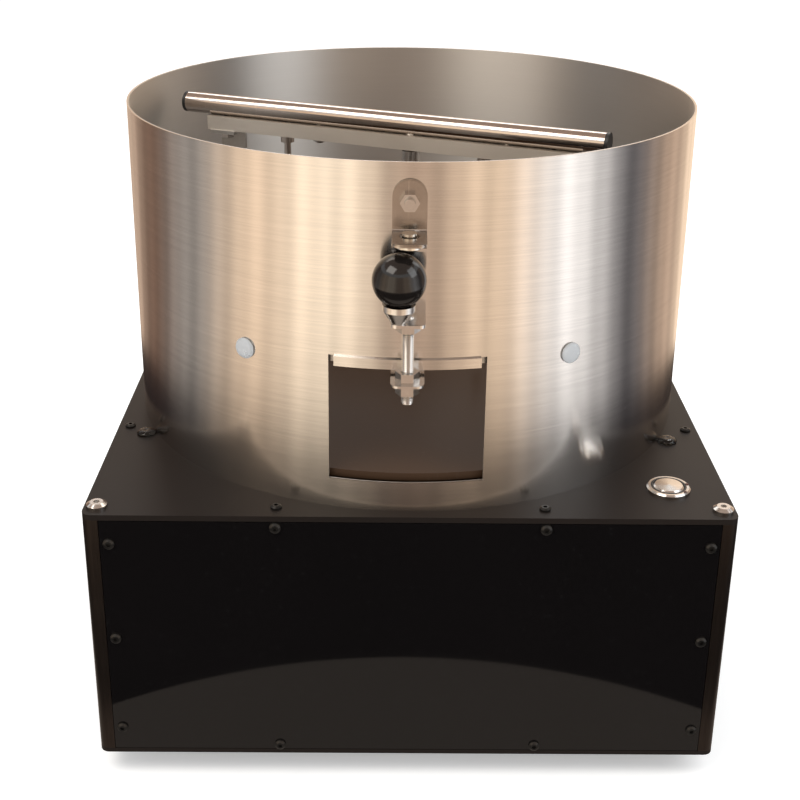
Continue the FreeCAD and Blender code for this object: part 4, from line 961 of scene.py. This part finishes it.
@dataclass
class SwitchGapShade:
    """A black ring that paints the shade in the gap round the push button's cap."""

    inner: float = 7.95 * MM
    outer: float = 9.15 * MM
    proud: float = 0.12 * MM
    sunk: float = 0.3 * MM
    ease: float = 0.15 * MM
    shoulder: float = 0.8

    def build(self, shop: Paintshop) -> None:
        """Turn the painted-shade ring on the bezel's top.

        Args:
            shop: Where the materials come from.
        """
        low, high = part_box("switch_cap")
        _, body_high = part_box("switch_body")
        centre = Vector(((low.x + high.x) / 2, (low.y + high.y) / 2, body_high.z - self.sunk))
        top = self.sunk + self.proud
        side = top * self.shoulder
        section = [(self.inner, 0.0), (self.inner, side), (self.inner + self.ease, top),
                   (self.outer - self.ease, top), (self.outer, side), (self.outer, 0.0),
                   (self.inner, 0.0)]
        # The black plastic ring stands in for the gap's shadow: painted shade.
        Piece("switch_gap_shade_ring", "base", "plastic_black", Look.PLASTIC).settle(
            mesh_piece("switch_gap_shade_ring", *turned(section, Matrix.Translation(centre))), shop)


# Studio

@dataclass(frozen=True)
class Lamp:
    """A soft rectangular lamp: where it stands, what it points at, its size, power and colour."""

    name: str
    place: Colour
    target: Colour
    size: tuple[float, float]
    watts: float
    colour: Colour

    def hang(self) -> None:
        """Add the lamp to the scene."""
        data = bpy.data.lights.new(self.name, "AREA")
        data.shape = "RECTANGLE"
        data.size, data.size_y = self.size
        data.energy = self.watts
        data.color = self.colour
        made = placed(self.name, data)
        aim = Vector(self.target) - Vector(self.place)
        turn = aim.to_track_quat("-Z", "Y").to_matrix().to_4x4()
        made.matrix_world = Matrix.Translation(self.place) @ turn


@dataclass
class Studio:
    """Pale floor, soft lamps and the camera."""

    camera_place: Vector = field(default_factory=lambda: Vector((-12.8626, -728.4852, 479.0603)) * MM)
    camera_right: Vector = field(default_factory=lambda: Vector((0.99991021, -0.00628903, 0.01183334)))
    camera_up: Vector = field(default_factory=lambda: Vector((-0.00874245, 0.3631011, 0.93170873)))
    camera_back: Vector = field(default_factory=lambda: Vector((-0.01015624, -0.93172852, 0.36301352)))
    frame_side: float = 800.0
    focal_length: float = 1329.5442
    middle_level: float = 330.0
    sensor: float = 36.0
    sight: float = 50.0
    floor_half: float = 12.0
    floor_lift: float = 0.34
    floor_tones: tuple[Colour, Colour] = ((0.93, 0.93, 0.93), (0.95, 0.95, 0.95))
    sky_light: float = 0.75
    lamps: tuple[Lamp, ...] = (
        Lamp("key_soft", (-0.9, -0.7, 1.7), (0, 0, 0.2), (1.1, 0.8), 12.0, (1.0, 0.95, 0.88)),
        Lamp("fill_soft", (1.2, -0.5, 1.2), (0, 0, 0.2), (0.9, 0.9), 6.0, (0.95, 0.98, 1.0)),
        Lamp("back_soft", (0.1, 1.3, 1.5), (0, 0, 0.3), (1.4, 0.5), 7.0, (1.0, 1.0, 1.0)))

    def camera(self) -> None:
        """Set the camera at the photograph's viewing angle."""
        made = placed("Camera", bpy.data.cameras.new("Camera"))
        turn = Matrix((self.camera_right, self.camera_up, self.camera_back)).transposed()
        made.matrix_world = Matrix.Translation(self.camera_place) @ turn.to_4x4()
        made.data.lens = self.focal_length / self.frame_side * self.sensor
        made.data.sensor_width = self.sensor
        made.data.shift_y = (self.middle_level - self.frame_side / 2) / self.frame_side
        made.data.clip_end = self.sight
        bpy.context.scene.camera = made

    def floor(self) -> None:
        """A wide pale floor that keeps the object's shadow."""
        half = self.floor_half
        corners = [(-half, -half, 0), (half, -half, 0), (half, half, 0), (-half, half, 0)]
        made = mesh_piece("studio_floor", corners, [[0, 1, 2, 3]], smooth=False)
        material = bpy.data.materials.new("studio_floor_pale")
        material.use_nodes = True
        tree = Tree(material.node_tree)
        shader = material.node_tree.nodes["Principled BSDF"]
        shader.inputs["Roughness"].default_value = 0.9
        shader.inputs["Specular IOR Level"].default_value = 0.0
        noise = tree.add("ShaderNodeTexNoise", Scale=3.0, Detail=2.0)
        tree.link(tree.place(), noise.inputs["Vector"])
        tree.link(tree.mix(noise.outputs["Fac"], *self.floor_tones), shader.inputs["Base Color"])
        glow = tree.add("ShaderNodeEmission", Color=(1, 1, 1, 1))
        path = tree.add("ShaderNodeLightPath")
        tree.link(tree.maths("MULTIPLY", path.outputs["Is Camera Ray"], self.floor_lift),
                  glow.inputs["Strength"])
        both = tree.add("ShaderNodeAddShader")
        tree.link(shader.outputs[0], both.inputs[0])
        tree.link(glow.outputs[0], both.inputs[1])
        tree.link(both.outputs[0], material.node_tree.nodes["Material Output"].inputs["Surface"])
        made.data.materials.append(material)

    def world(self) -> None:
        """White for what the camera and gloss see, softer for plain light."""
        world = bpy.data.worlds.new("studio_world")
        bpy.context.scene.world = world
        world.use_nodes = True
        tree = Tree(world.node_tree)
        world.node_tree.nodes.clear()
        seen = tree.add("ShaderNodeBackground", Color=(1, 1, 1, 1), Strength=1.0)
        light = tree.add("ShaderNodeBackground", Color=(1, 1, 1, 1), Strength=self.sky_light)
        path = tree.add("ShaderNodeLightPath")
        direct = tree.maths("MAXIMUM", path.outputs["Is Camera Ray"], path.outputs["Is Glossy Ray"])
        shown = tree.maths("MAXIMUM", direct, path.outputs["Is Transmission Ray"])
        blend = tree.add("ShaderNodeMixShader")
        tree.link(shown, blend.inputs[0])
        tree.link(light.outputs[0], blend.inputs[1])
        tree.link(seen.outputs[0], blend.inputs[2])
        tree.link(blend.outputs[0], tree.add("ShaderNodeOutputWorld").inputs["Surface"])

    def build(self) -> None:
        """Set the whole studio."""
        bpy.context.scene.view_settings.view_transform = "Standard"
        self.camera()
        self.floor()
        self.world()
        for lamp in self.lamps:
            lamp.hang()
        LOG.info("studio set")


class Tone(Enum):
    """Plain tones of the studio's surround."""

    GROUND = (0.40, 0.34, 0.29)
    DARK = (0.012, 0.010, 0.012)
    CREAM = (1.20, 0.92, 0.68)
    WARM_WHITE = (1.60, 1.34, 1.05)
    COOL_WHITE = (1.45, 1.42, 1.42)
    TAN = (0.66, 0.48, 0.36)
    BROWN = (0.24, 0.15, 0.11)
    GREY = (0.44, 0.40, 0.37)
    SLATE = (0.20, 0.19, 0.20)
    CEILING = (0.52, 0.40, 0.33)


@dataclass
class Surroundings:
    """A plain studio bowl that only glossy surfaces see: pale ground, dark ring, twelve even flats."""

    ground_radius: float = 0.32
    ground_y: float = 0.063
    dark_radius: float = 0.53
    dark_fade: float = 0.05
    wall_radius: float = 1.6
    wall_tall: float = 1.1
    ceiling_radius: float = 2.3
    ceiling_level: float = 2.2
    middle_radius: float = 0.002
    low_level: float = 0.001
    edge: float = 0.001
    far_radii: tuple[float, float] = (0.8, 1.2)
    steps: int = 360
    stripe: float = 0.18
    stripe_counts: tuple[int, int] = (29, 11)
    flats: tuple[Tone, ...] = (Tone.CREAM, Tone.TAN, Tone.BROWN, Tone.GREY, Tone.CREAM, Tone.WARM_WHITE,
                               Tone.TAN, Tone.CREAM, Tone.COOL_WHITE, Tone.SLATE, Tone.TAN, Tone.CREAM)

    def wall_tone(self, degrees: float) -> Colour:
        """The wall's tone in one direction: even flats blended together, with plain narrow stripes.

        Args:
            degrees: Direction from the front, positive to the viewer's right.

        Returns:
            Its colour.
        """
        count = len(self.flats)
        place = (degrees + 180) / 360 * count
        first, after = self.flats[int(place) % count], self.flats[(int(place) + 1) % count]
        share = place % 1.0
        share = share * share * (3 - 2 * share)
        turn = math.radians(degrees)
        many, few = self.stripe_counts
        level = 1.0 + self.stripe * math.sin(turn * many) * math.sin(turn * few)
        return tuple(level * (a + (b - a) * share) for a, b in zip(first.value, after.value))

    def tone_at(self, degrees: float, radius: float) -> Colour:
        """The tone of one point of the bowl.

        Args:
            degrees: Direction from the front, positive to the viewer's right.
            radius: Distance from the middle.

        Returns:
            Its colour.
        """
        if radius <= self.ground_radius:
            return Tone.GROUND.value
        share = max(0.0, min(1.0, (radius - self.dark_radius) / self.dark_fade))
        wall = self.wall_tone(degrees)
        return tuple(a + (b - a) * share for a, b in zip(Tone.DARK.value, wall))

    def rings(self) -> list[tuple[float, float, float]]:
        """The bowl's rings, from the ground's middle to the wall's top.

        Returns:
            Radius, level and middle of each.
        """
        near = (self.middle_radius, self.ground_radius, self.ground_radius + self.edge)
        far = (self.dark_radius, self.dark_radius + self.dark_fade, *self.far_radii, self.wall_radius)
        return ([(radius, self.low_level, self.ground_y) for radius in near]
                + [(radius, self.low_level, 0.0) for radius in far]
                + [(self.wall_radius, self.wall_tall, 0.0)])

    def build(self) -> None:
        """Make one open bowl with a ceiling over its middle."""
        points, faces, shades = [], [], []
        rings = self.rings()
        for radius, level, middle in rings:
            for step in range(self.steps):
                degrees = -180 + 360 * step / self.steps
                angle = math.radians(degrees)
                points.append(Vector((radius * math.sin(angle), middle - radius * math.cos(angle),
                                      level)))
                shades.append(self.tone_at(degrees, radius))
        for ring in range(len(rings) - 1):
            start = ring * self.steps
            for step in range(self.steps):
                after = (step + 1) % self.steps
                above = start + self.steps
                faces.append([start + step, start + after, above + after, above + step])
        start = len(points)
        for step in range(self.steps):
            angle = 2 * math.pi * step / self.steps
            points.append(Vector((self.ceiling_radius * math.sin(angle),
                                  -self.ceiling_radius * math.cos(angle), self.ceiling_level)))
            shades.append(Tone.CEILING.value)
        faces.append(list(range(start, start + self.steps)))
        made = mesh_piece("studio_bowl", points, faces)
        tint = made.data.color_attributes.new("tone", "FLOAT_COLOR", "POINT")
        for index, shade in enumerate(shades):
            tint.data[index].color = (*shade, 1.0)
        material = bpy.data.materials.new("studio_bowl_screen")
        material.use_nodes = True
        tree = Tree(material.node_tree)
        material.node_tree.nodes.clear()
        glow = tree.add("ShaderNodeEmission", Strength=1.0)
        tone = tree.add("ShaderNodeAttribute", attribute_name="tone")
        tree.link(tone.outputs["Color"], glow.inputs["Color"])
        tree.link(glow.outputs[0], tree.add("ShaderNodeOutputMaterial").inputs["Surface"])
        made.data.materials.append(material)
        made.visible_camera = False
        made.visible_diffuse = False
        made.visible_shadow = False
        made.visible_transmission = False
        LOG.info("surroundings set")


def main() -> None:
    """Build the studio, dress the CAD nodes and add the finer pieces."""
    logging.basicConfig(level=logging.INFO, format="%(name)s: %(message)s")
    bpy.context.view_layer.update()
    Studio().build()
    Surroundings().build()
    shop = Paintshop()
    shop.dress_nodes()
    builders: tuple[Callable[[Paintshop], None], ...] = (
        Bumpers().build, LiftRod().build, TopBracket().build, SwitchGapShade().build)
    for build in builders:
        build(shop)


if __name__ == "__main__":
    main()
